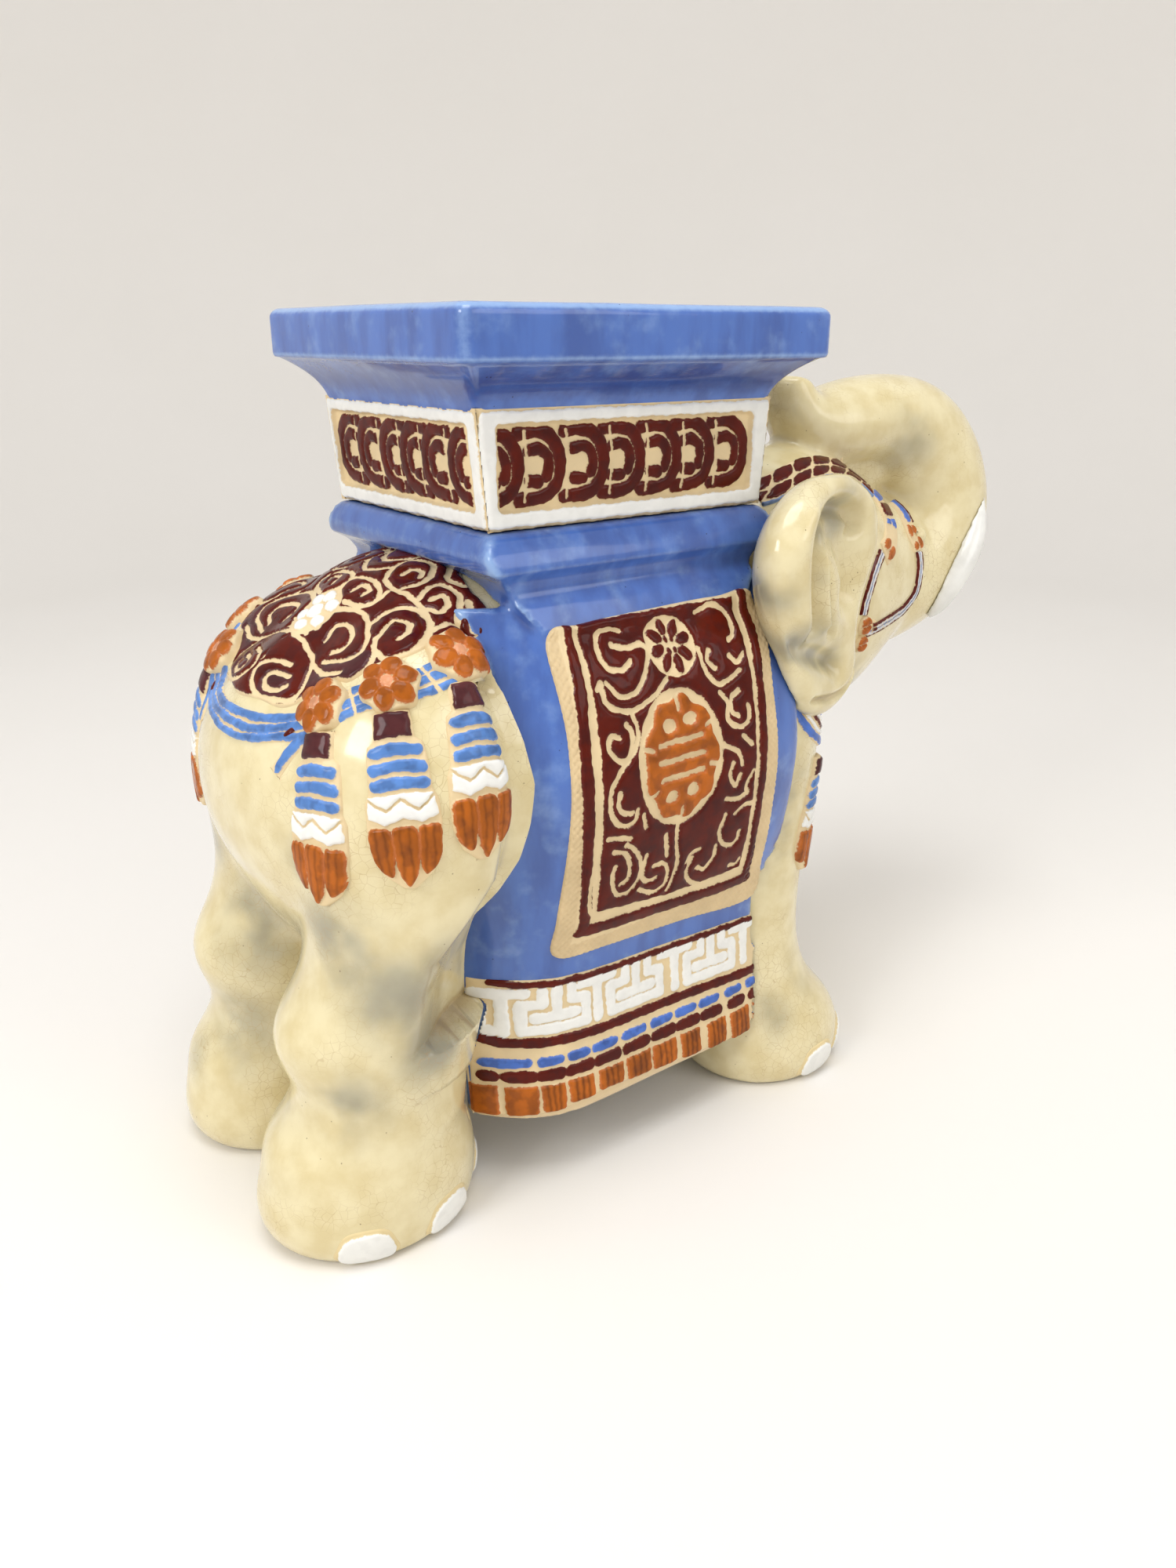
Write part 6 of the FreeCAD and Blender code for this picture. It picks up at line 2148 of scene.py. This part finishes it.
@dataclass
class Tassel:
    """A tassel: dark cap, three blue rings, a white zigzag and amber lobes."""

    node: str
    head: tuple
    tip: tuple
    half: float = 15.5
    # half the width, as a share of the widest, by the share of the length
    shares: tuple = (0, 0.15, 0.18, 0.25, 0.44, 0.5, 0.66, 0.8, 0.92, 1.0)
    widths: tuple = (0.5, 0.55, 0.74, 0.8, 0.85, 0.98, 1.0, 0.93, 0.66, 0.2)
    # each lobe's middle and half width, as shares of the tassel's own
    lobes: tuple = ((-0.64, 0.3), (0.0, 0.32), (0.64, 0.3))

    def build(self, carrier: Carrier, material: Material) -> list[Piece]:
        """Lays the tassel on both sides.

        Args:
            carrier: what it lies on.
            material: its finish.
        Returns:
            The pieces.
        """
        top, tip = stool(*self.head), stool(*self.tip)
        places = np.array([top + (tip - top) * t for t in (0, 0.25, 0.5, 0.75, 1.0)])
        centre = stool(-100, 0, 220) if top[0] < -0.1 else stool(95, -20, 200)
        inward = np.array([(centre - p) * (1, 1, 0) for p in places])
        aim = PathAim(carrier, places, inward)
        length, half = aim.length, self.half
        lay = Lay(step=0.45, lift=0.9, rim=1.3, sink=0.8, ease=4)
        return Panel(self.node, (f"{self.node}_right",), "orange_glaze", aim, (-1, length + 1), (-half - 1, half + 1),
                     partial(self.outline, length=length), partial(self.draw, length=length), carrier,
                     lay).build(material)

    def wide(self, u: Array, length: float) -> Array:
        """Half the tassel's width at each place along it."""
        return np.interp(u / length, self.shares, self.widths) * self.half

    def outline(self, u: Array, v: Array, length: float) -> Array:
        """How far inside the tassel each place is."""
        return in_strip(u, v, self.wide(np.clip(u, 0, length), length) + 0.6, length, 1, 0.8)

    def draw(self, canvas: Canvas, length: float) -> None:
        """Draws cap, rings, zigzag and lobes from the head to the tip.

        Args:
            canvas: the face to draw on.
            length: the strip's length, in mm.
        """
        half = self.half
        canvas.relief = 1.6 * np.clip(1 - (np.abs(canvas.v) / np.maximum(self.wide(canvas.u, length), 1)) ** 2, 0, 1)
        cap = self.wide(np.array([0.0, 0.15 * length]), length) - 0.8
        canvas.ring([(0.01 * length, -cap[0]), (0.01 * length, cap[0]), (0.15 * length, cap[1]),
                     (0.15 * length, -cap[1])], PLUM, False, 1.5)
        for share in (0.215, 0.305, 0.395):
            at, reach = share * length, float(self.wide(np.array([share * length]), length)[0]) - 3.2
            canvas.line([(at + 0.6, -reach), (at - 0.4, 0), (at + 0.6, reach)], 2.6, CORD_BLUE, swell=1.3)
        w = self.wide(np.array([0.47 * length, 0.6 * length]), length) - 1.0
        collar = ((0.455, -w[0]), (0.445, 0), (0.455, w[0]), (0.58, w[1]), (0.615, w[1] * 0.5), (0.58, 0),
                  (0.615, -w[1] * 0.5), (0.58, -w[1]))
        canvas.ring([(share * length, v) for share, v in collar], WHITE, False, 1.4)
        zigzag = ((0.47, -w[0]), (0.54, -w[0] * 0.5), (0.48, 0), (0.54, w[0] * 0.5), (0.47, w[0]))
        canvas.cut([(share * length, v) for share, v in zigzag], 0.45, False)
        for middle, spread in self.lobes:
            end, pull = 0.985 - 0.1 * abs(middle), 0.72
            lobe = ((0.65, middle - spread), (0.625, middle), (0.65, middle + spread),
                    (0.84, middle * 0.92 + spread * 0.92), (end, middle * pull),
                    (0.84, middle * 0.92 - spread * 0.92))
            canvas.ring([(share * length, v * half) for share, v in lobe], AMBER, True, 1.7)
            # painted shade along two folds of each lobe
            for shift in (-0.12, 0.1):
                near = np.flatnonzero(canvas.u > 0.62 * length)
                fold = (middle * (1 - 0.5 * (canvas.u[near] / length - 0.62)) + shift) * half
                canvas.shade(near, np.abs(canvas.v[near] - fold), 0.6, 0.35)


# ---- head and chest trappings, nails


@dataclass
class Bridle:
    """The brow net, its side bands, the straps and their beads."""

    # middle lines in mm: the brow net, the two bands of beads, then the two straps
    brow: tuple = (
        (116, -30, 326), (126, -34, 330), (143, -34, 335), (161, -31, 338), (184, -29, 337), (204, -28, 330),
        (214, -30, 322),
    )
    cheek_band: tuple = (
        (215, -30, 321), (219, -35, 315), (219, -40, 308), (218, -44.5, 300), (211, -50, 292), (202, -54, 288),
    )
    nose_band: tuple = (
        (243, -22, 312), (246, -27, 306), (245, -34, 300), (245, -38, 294), (248, -40, 288), (249, -42, 283),
    )
    cheek_strap: tuple = ((200, -54, 290), (193, -56, 284), (186, -60, 275), (181, -61, 265), (179, -61, 256))
    nose_strap: tuple = (
        (249, -42, 284), (249, -44, 270), (245, -44, 257), (232, -47, 250), (218, -51, 248), (201, -55, 246),
        (186, -58, 245),
    )
    beads: tuple = (
        ((182, -60, 250), (4.8, 5.2), AMBER), ((182, -58, 239), (4.6, 4.8), AMBER),
        ((192, -58, 248), (2.6, 2.8), TREACLE),
    )
    lift: float = 1.0

    def build(self, head: Carrier, skin: Carrier, material: Material) -> list[Piece]:
        """Lays the brow net, bands, straps and beads on both sides of the head.

        Args:
            head: the bare head, that the paths are settled on.
            skin: the glazed hide, that the bands are dropped on.
            material: their finish.
        Returns:
            The finished objects.
        """
        made = []
        for name, node, points, inward, half, draw in (
                ("brow_net", "brow_band_right", self.brow, (0, 0.75, -0.66), 9.6, self.draw_net),
                ("cheek_band", "bridle_right", self.cheek_band, (0, 1, -0.2), 8.2, self.draw_cheek_band),
                ("nose_band", "bridle_right", self.nose_band, (0, 1, -0.2), 7.0, self.draw_nose_band),
                ("cheek_strap", "bridle_right", self.cheek_strap, (0, 1, -0.2), 3.9, self.draw_strap),
                ("nose_strap", "bridle_right", self.nose_strap, (0, 1, -0.2), 3.9, self.draw_strap)):
            places = np.array([stool(*p) for p in points])
            aim = PathAim(head, places, np.array([inward] * len(places), float), 0.012)
            length = aim.length
            outline = partial(in_box, half_u=length / 2, low=-half, high=half, middle=length / 2, corner=1.5)
            lay = Lay(step=0.45, lift=self.lift, rim=1.1, sink=1.2, ease=5)
            made += Panel(name, (node,), "red_brown_glaze", aim, (0, length), (-half - 1, half + 1), outline,
                          partial(draw, length=length), skin, lay).build(material)
        for number, (place, radii, tint) in enumerate(self.beads, start=1):
            made += self._bead(f"bridle_bead_{number}", place, radii, tint, (head, skin), material)
        return made

    @staticmethod
    def draw_net(canvas: Canvas, length: float) -> None:
        """Two rows of slanting brown scales over a grey-blue edge.

        Args:
            canvas: the face to draw on.
            length: the strip's length, in mm.
        """
        for level, high, start in ((4.2, 3.9, 6.0), (-3.6, 3.2, -3.0)):
            for u in np.arange(start, length + 12, 17.5):
                canvas.ring([(u - 10, level - 0.7 * high), (u - 4, level + 0.8 * high), (u + 4, level + high),
                             (u + 10, level + 0.6 * high), (u + 4, level - 0.8 * high),
                             (u - 4, level - high)], TREACLE, True, 1.0)
        canvas.line([(-2, -8.4), (length / 2, -8.6), (length + 2, -8.4)], 1.3, NET_BLUE, swell=0.8)

    @staticmethod
    def draw_cheek_band(canvas: Canvas, length: float) -> None:
        """A blue square, a brown one, two small blue ones and two amber beads.

        Args:
            canvas: the face to draw on.
            length: the strip's length, in mm.
        """
        canvas.ring([(1.2, -6.8), (8.2, -6.6), (8.4, 6.6), (1.4, 6.8)], BLUE, False)
        canvas.ring([(10, -6.6), (18.6, -6.6), (18.6, 6.6), (10, 6.6)], TREACLE, False)
        for level in (-3.6, 3.6):
            canvas.ring([(20.4, level - 2.6), (25, level - 2.6), (25, level + 2.6), (20.4, level + 2.6)], BLUE, False)
            canvas.oval((length - 7, level), (5.4, 2.9), AMBER, swell=1.7)

    @staticmethod
    def draw_nose_band(canvas: Canvas, length: float) -> None:
        """A long blue bar between brown edges, then two pairs of amber beads.

        Args:
            canvas: the face to draw on.
            length: the strip's length, in mm.
        """
        canvas.line([(0, 5.4), (length * 0.45, 5.4)], 0.9, TREACLE, False)
        canvas.line([(0.5, 0.6), (length * 0.4, 0.4)], 3.0, BLUE, False)
        for share in (0.62, 0.87):
            for level in (-2.9, 2.9):
                canvas.oval((length * share, level), (3.6, 2.5), AMBER, swell=1.6)

    @staticmethod
    def draw_strap(canvas: Canvas, length: float) -> None:
        """Two white cords, greyed as painted shade, with painted blue-grey shade between them, inside brown edges.

        Args:
            canvas: the face to draw on.
            length: the strip's length, in mm.
        """
        for level, tint, half in (
                (2.95, TREACLE, 0.8), (1.25, CORD_WHITE_SHADED, 0.7), (-0.2, CORD_SHADE_GREY, 0.55), (-1.5, CORD_WHITE_SHADED, 0.6),
                (-3.0, TREACLE, 0.8)):
            canvas.line([(-2, level), (length / 2, level), (length + 2, level)], half, tint, swell=0.9)

    def _bead(self, name: str, place: tuple, radii: tuple, tint: Tint, carrier: tuple[Carrier, Carrier],
              material: Material) -> list[Piece]:
        """One oval bead on both sides of the head.

        Args:
            name: the piece's name.
            place: where it lies, in mm.
            radii: its half length and half height.
            tint: its glaze.
            carrier: the bare head, and the hide.
            material: its finish.
        Returns:
            The right and the left piece.
        """
        aim = spot_aim(carrier[0], stool(place[0], place[1] - 40, place[2]), (0, 1, 0), (0, 0, 1))
        wide, high = radii[0] + 1.6, radii[1] + 1.6
        lay = Lay(step=0.42, lift=1.4, rim=1.3, sink=1.2, ease=5)
        return Panel(name, ("bridle_beads_right",), "orange_glaze", aim, (-wide - 0.5, wide + 0.5),
                     (-high - 0.5, high + 0.5), partial(self.bead_outline, radii=(wide, high)),
                     partial(self.draw_bead, radii=radii, tint=tint), carrier[1], lay).build(material)

    @staticmethod
    def bead_outline(u: Array, v: Array, radii: tuple) -> Array:
        """About how far inside an oval each place is."""
        return (1 - np.hypot(u / radii[0], v / radii[1])) * min(radii)

    @staticmethod
    def draw_bead(canvas: Canvas, radii: tuple, tint: Tint) -> None:
        """A puffed oval with a fine groove across."""
        canvas.oval((0, 0), radii, tint, swell=2.2)
        canvas.cut([(-radii[0] - 1.6, -0.8), (radii[0] + 1.6, 0.6)], 0.3)


@dataclass
class ChestBand:
    """The band across the chest and the tassel at each shoulder."""

    # the band's middle line, from the shoulder to the middle of the chest
    path: tuple = (
        (84, -86, 268), (88, -91, 250), (96, -92, 231), (108, -86, 214), (121, -68, 203), (132, -46, 196),
        (139, -22, 191), (142, 0, 190),
    )
    # each line's height on the band, glaze and half width
    lines: tuple = ((8.2, BLUE, 2.3), (3.4, WHITE, 1.2), (0.0, TREACLE, 1.4), (-3.4, WHITE, 1.2), (-8.2, BLUE, 2.3))

    def build(self, carrier: Carrier, material: Material) -> list[Piece]:
        """Lays the band and its tassels.

        Args:
            carrier: what it lies on.
            material: its finish.
        Returns:
            The pieces.
        """
        whole = self.path + tuple((x, -y, z) for x, y, z in self.path[-2::-1])
        places = np.array([stool(*p) for p in whole])
        inward = np.array([stool(60, 0, 225) - p for p in places]) * (1, 1, 0.2)
        aim = PathAim(carrier, places, inward, 0.007, 0.06)
        lay = Lay(step=0.55, lift=0.6, rim=1.4, sink=0.8, ease=4)
        band = Panel("chest_band_lines", ("chest_band",), "red_brown_glaze", aim, (0, aim.length), (-13, 13),
                     partial(in_strip, half=11.6, length=aim.length), partial(self.draw, length=aim.length), carrier,
                     lay)
        tassel = Tassel("fore_tassel", (117, -87, 192), (109, -92, 126), 12)
        return band.build(material, False) + tassel.build(carrier, material)

    def draw(self, canvas: Canvas, length: float) -> None:
        """Draws the lines, each with a slow wave."""
        for level, tint, half in self.lines:
            canvas.line([(u, level + 0.4 * math.sin(u * 0.13 + level)) for u in np.linspace(-3, length + 3, 60)],
                        half, tint)


@dataclass
class Toenails:
    """White toenails, each an arched pad inside a raised rim."""

    half: float = 14.5
    height: float = 21
    # each foot's middle and the ways its nails face, in degrees from the right
    feet: tuple = (("hind", (-149, -50), (-28, 28, 82)), ("fore", (104, -67), (8, 52, 96)))

    def build(self, carrier: Carrier, material: Material) -> list[Piece]:
        """Lays three nails on each foot.

        Args:
            carrier: what it lies on.
            material: its finish.
        Returns:
            The pieces.
        """
        made = []
        half, high = self.half, self.height
        right = ((half, -high / 2 + 1), (half, high * 0.12), (half * 0.55, high / 2))
        outline = ring_outline([(-u, v) for u, v in right] + list(right[::-1]))
        lay = Lay(step=0.45, lift=0.5, rim=2.2, sink=0.9, ease=6)
        for foot, centre, turns in self.feet:
            for number, turn in enumerate(turns, start=1):
                way = np.array([math.sin(math.radians(turn)), -math.cos(math.radians(turn)), 0])
                aim = spot_aim(carrier, stool(*centre, 12) + way * 0.1, -way, (0, 0, 1))
                made += Panel(f"{foot}_toenail_{number}", (f"{foot}_toenails_right",), "white_glaze", aim,
                              (-half - 1, half + 1), (-high / 2 - 1, high / 2 + 1), outline, self.draw, carrier, lay,
                              CREAM).build(material)
        return made

    def draw(self, canvas: Canvas) -> None:
        """Draws the pad.

        Args:
            canvas: the face to draw on.
        """
        half, high = self.half, self.height
        right = ((half - 3, -high / 2 + 2.2), (half - 2.6, high * 0.1), (half * 0.45, high / 2 - 3))
        canvas.ring([(-u, v) for u, v in right] + list(right[::-1]), WHITE, True, 1.3)


@dataclass
class Tusks:
    """The white crescent tusks."""

    voxel: float = 0.0012

    def build(self, material: Material) -> list[Piece]:
        """Softens each tusk.

        Args:
            material: its finish.
        Returns:
            The pieces.
        """
        made = []
        for side in Side:
            shape = remeshed(merged(f"tusk_{side.word}"), self.voxel, 6)
            made.append(register(finished(shape, f"tusk_{side.word}_glazed", material),
                                 (f"tusk_{side.word}",)))
        return made


# ---- studio


@dataclass
class Studio:
    """Plain pale sweep, soft lights and the camera."""

    camera_at: tuple = (-0.4145, -0.4939, 0.4081)
    yaw: float = 53.17
    pitch: float = 21.20
    lens: float = 26.64
    # the sweep: radius of the flat floor, of the bend and height of the wall, in metres
    floor: float = 1.6
    bend: float = 0.9
    wall: float = 3.2
    # lamps: name, place, what it points at, size and power
    lamps: tuple = (
        ("top_lamp", (-0.3, -0.3, 1.9), (-0.05, 0, 0.2), 0.9, 12),
        ("left_lamp", (-1.5, -0.3, 1.1), (0, 0, 0.2), 0.6, 10), ("right_lamp", (0.6, -1.5, 1.1), (0, 0, 0.2), 1.0, 6),
    )
    sky: float = 0.74

    def build(self) -> None:
        """Builds sweep, lights and camera."""
        self._sweep()
        self._lights()
        lens = bpy.data.cameras.new("camera")
        lens.lens, lens.sensor_width, lens.sensor_fit = self.lens, 36.0, "AUTO"
        lens.clip_start = 0.01
        camera = bpy.data.objects.new("camera", lens)
        camera.location = self.camera_at
        camera.rotation_euler = (math.radians(90 - self.pitch), 0, math.radians(self.yaw - 90))
        bpy.context.scene.collection.objects.link(camera)
        bpy.context.scene.camera = camera

    def _sweep(self) -> None:
        """A floor that curves up into a back wall all round."""
        shape = bmesh.new()
        bmesh.ops.create_circle(shape, segments=96, radius=0.5, cap_ends=True)
        edges = [e for e in shape.edges if e.is_boundary]
        rows = [(self.floor, 0)]
        rows += [(self.floor + self.bend * math.sin(t), self.bend * (1 - math.cos(t)))
                 for t in np.linspace(0.1, math.pi / 2, 10)]
        rows += [(self.floor + self.bend, self.wall)]
        radius = 0.5
        for wide, high in rows:
            edges, verts = grow(shape, edges)
            bmesh.ops.scale(shape, vec=(wide / radius, wide / radius, 1), verts=verts)
            for vertex in verts:
                vertex.co.z = high
            radius = wide
        bmesh.ops.recalc_face_normals(shape, faces=shape.faces)
        bmesh.ops.reverse_faces(shape, faces=shape.faces)
        paper = bpy.data.materials.new("paper")
        paper.use_nodes = True
        graph = Graph(paper.node_tree)
        shader = paper.node_tree.nodes["Principled BSDF"]
        where = graph.where()
        tone = graph.mix(graph.noise(where, 3, 2), Tint(243, 240, 236), Tint(240, 237, 232))
        paper.node_tree.links.new(tone, shader.inputs["Base Color"])
        shader.inputs["Roughness"].default_value = 0.9
        made = finished(shape, "sweep", paper)
        bpy.context.scene.collection.objects.link(made)

    def _lights(self) -> None:
        """One wide lamp above, one from the left, a weak one from the right, and a pale sky."""
        for name, place, aim, size, power in self.lamps:
            lamp = bpy.data.lights.new(name, "AREA")
            lamp.energy, lamp.size = power, size
            lit = bpy.data.objects.new(name, lamp)
            lit.location = place
            lit.rotation_euler = (Vector(aim) - Vector(place)).to_track_quat("-Z", "Y").to_euler()
            bpy.context.scene.collection.objects.link(lit)
        world = bpy.data.worlds.new("sky")
        world.use_nodes = True
        background = world.node_tree.nodes["Background"]
        background.inputs["Color"].default_value = (0.97, 0.98, 1.0, 1)
        background.inputs["Strength"].default_value = self.sky
        bpy.context.scene.world = world
        bpy.context.scene.view_settings.view_transform = "Standard"


def main() -> None:
    """Builds the stool's visible pieces in order, dresses them and sets up the studio."""
    logging.basicConfig(level=logging.INFO, format="%(message)s")
    effects = Effects()
    hide_glaze = HideGlaze("hide_glaze").material(effects)
    cloth_glaze = ClothGlaze("cloth_glaze").material(effects)
    white_glaze = WhiteGlaze("white_glaze").material(effects)
    drawn_glaze = DrawnGlaze("drawn_glaze", coat=0.22, specular=0.06, bump_mm=0.25).material(effects)
    saddle = Saddle().build(cloth_glaze)
    flank = Carrier.of(saddle)
    hide = Hide().build(hide_glaze, flank)
    Ear().build(hide_glaze)
    Seat().build(cloth_glaze)
    Frieze().build(drawn_glaze)
    skin = Carrier.of(hide)
    Rug().build(flank, drawn_glaze)
    Hem().build(flank, drawn_glaze)
    RumpCloth().build(skin, drawn_glaze)
    Crupper().build(skin, drawn_glaze)
    Bridle().build(Carrier.bare("head_shell"), skin, drawn_glaze)
    ChestBand().build(skin, drawn_glaze)
    Toenails().build(skin, drawn_glaze)
    Tusks().build(white_glaze)
    for side in Side:
        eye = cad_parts[f"eye_{side.word}"]
        eye.data.materials.clear()
        eye.data.materials.append(hide_glaze)
    Studio().build()


if __name__ == "__main__":
    main()
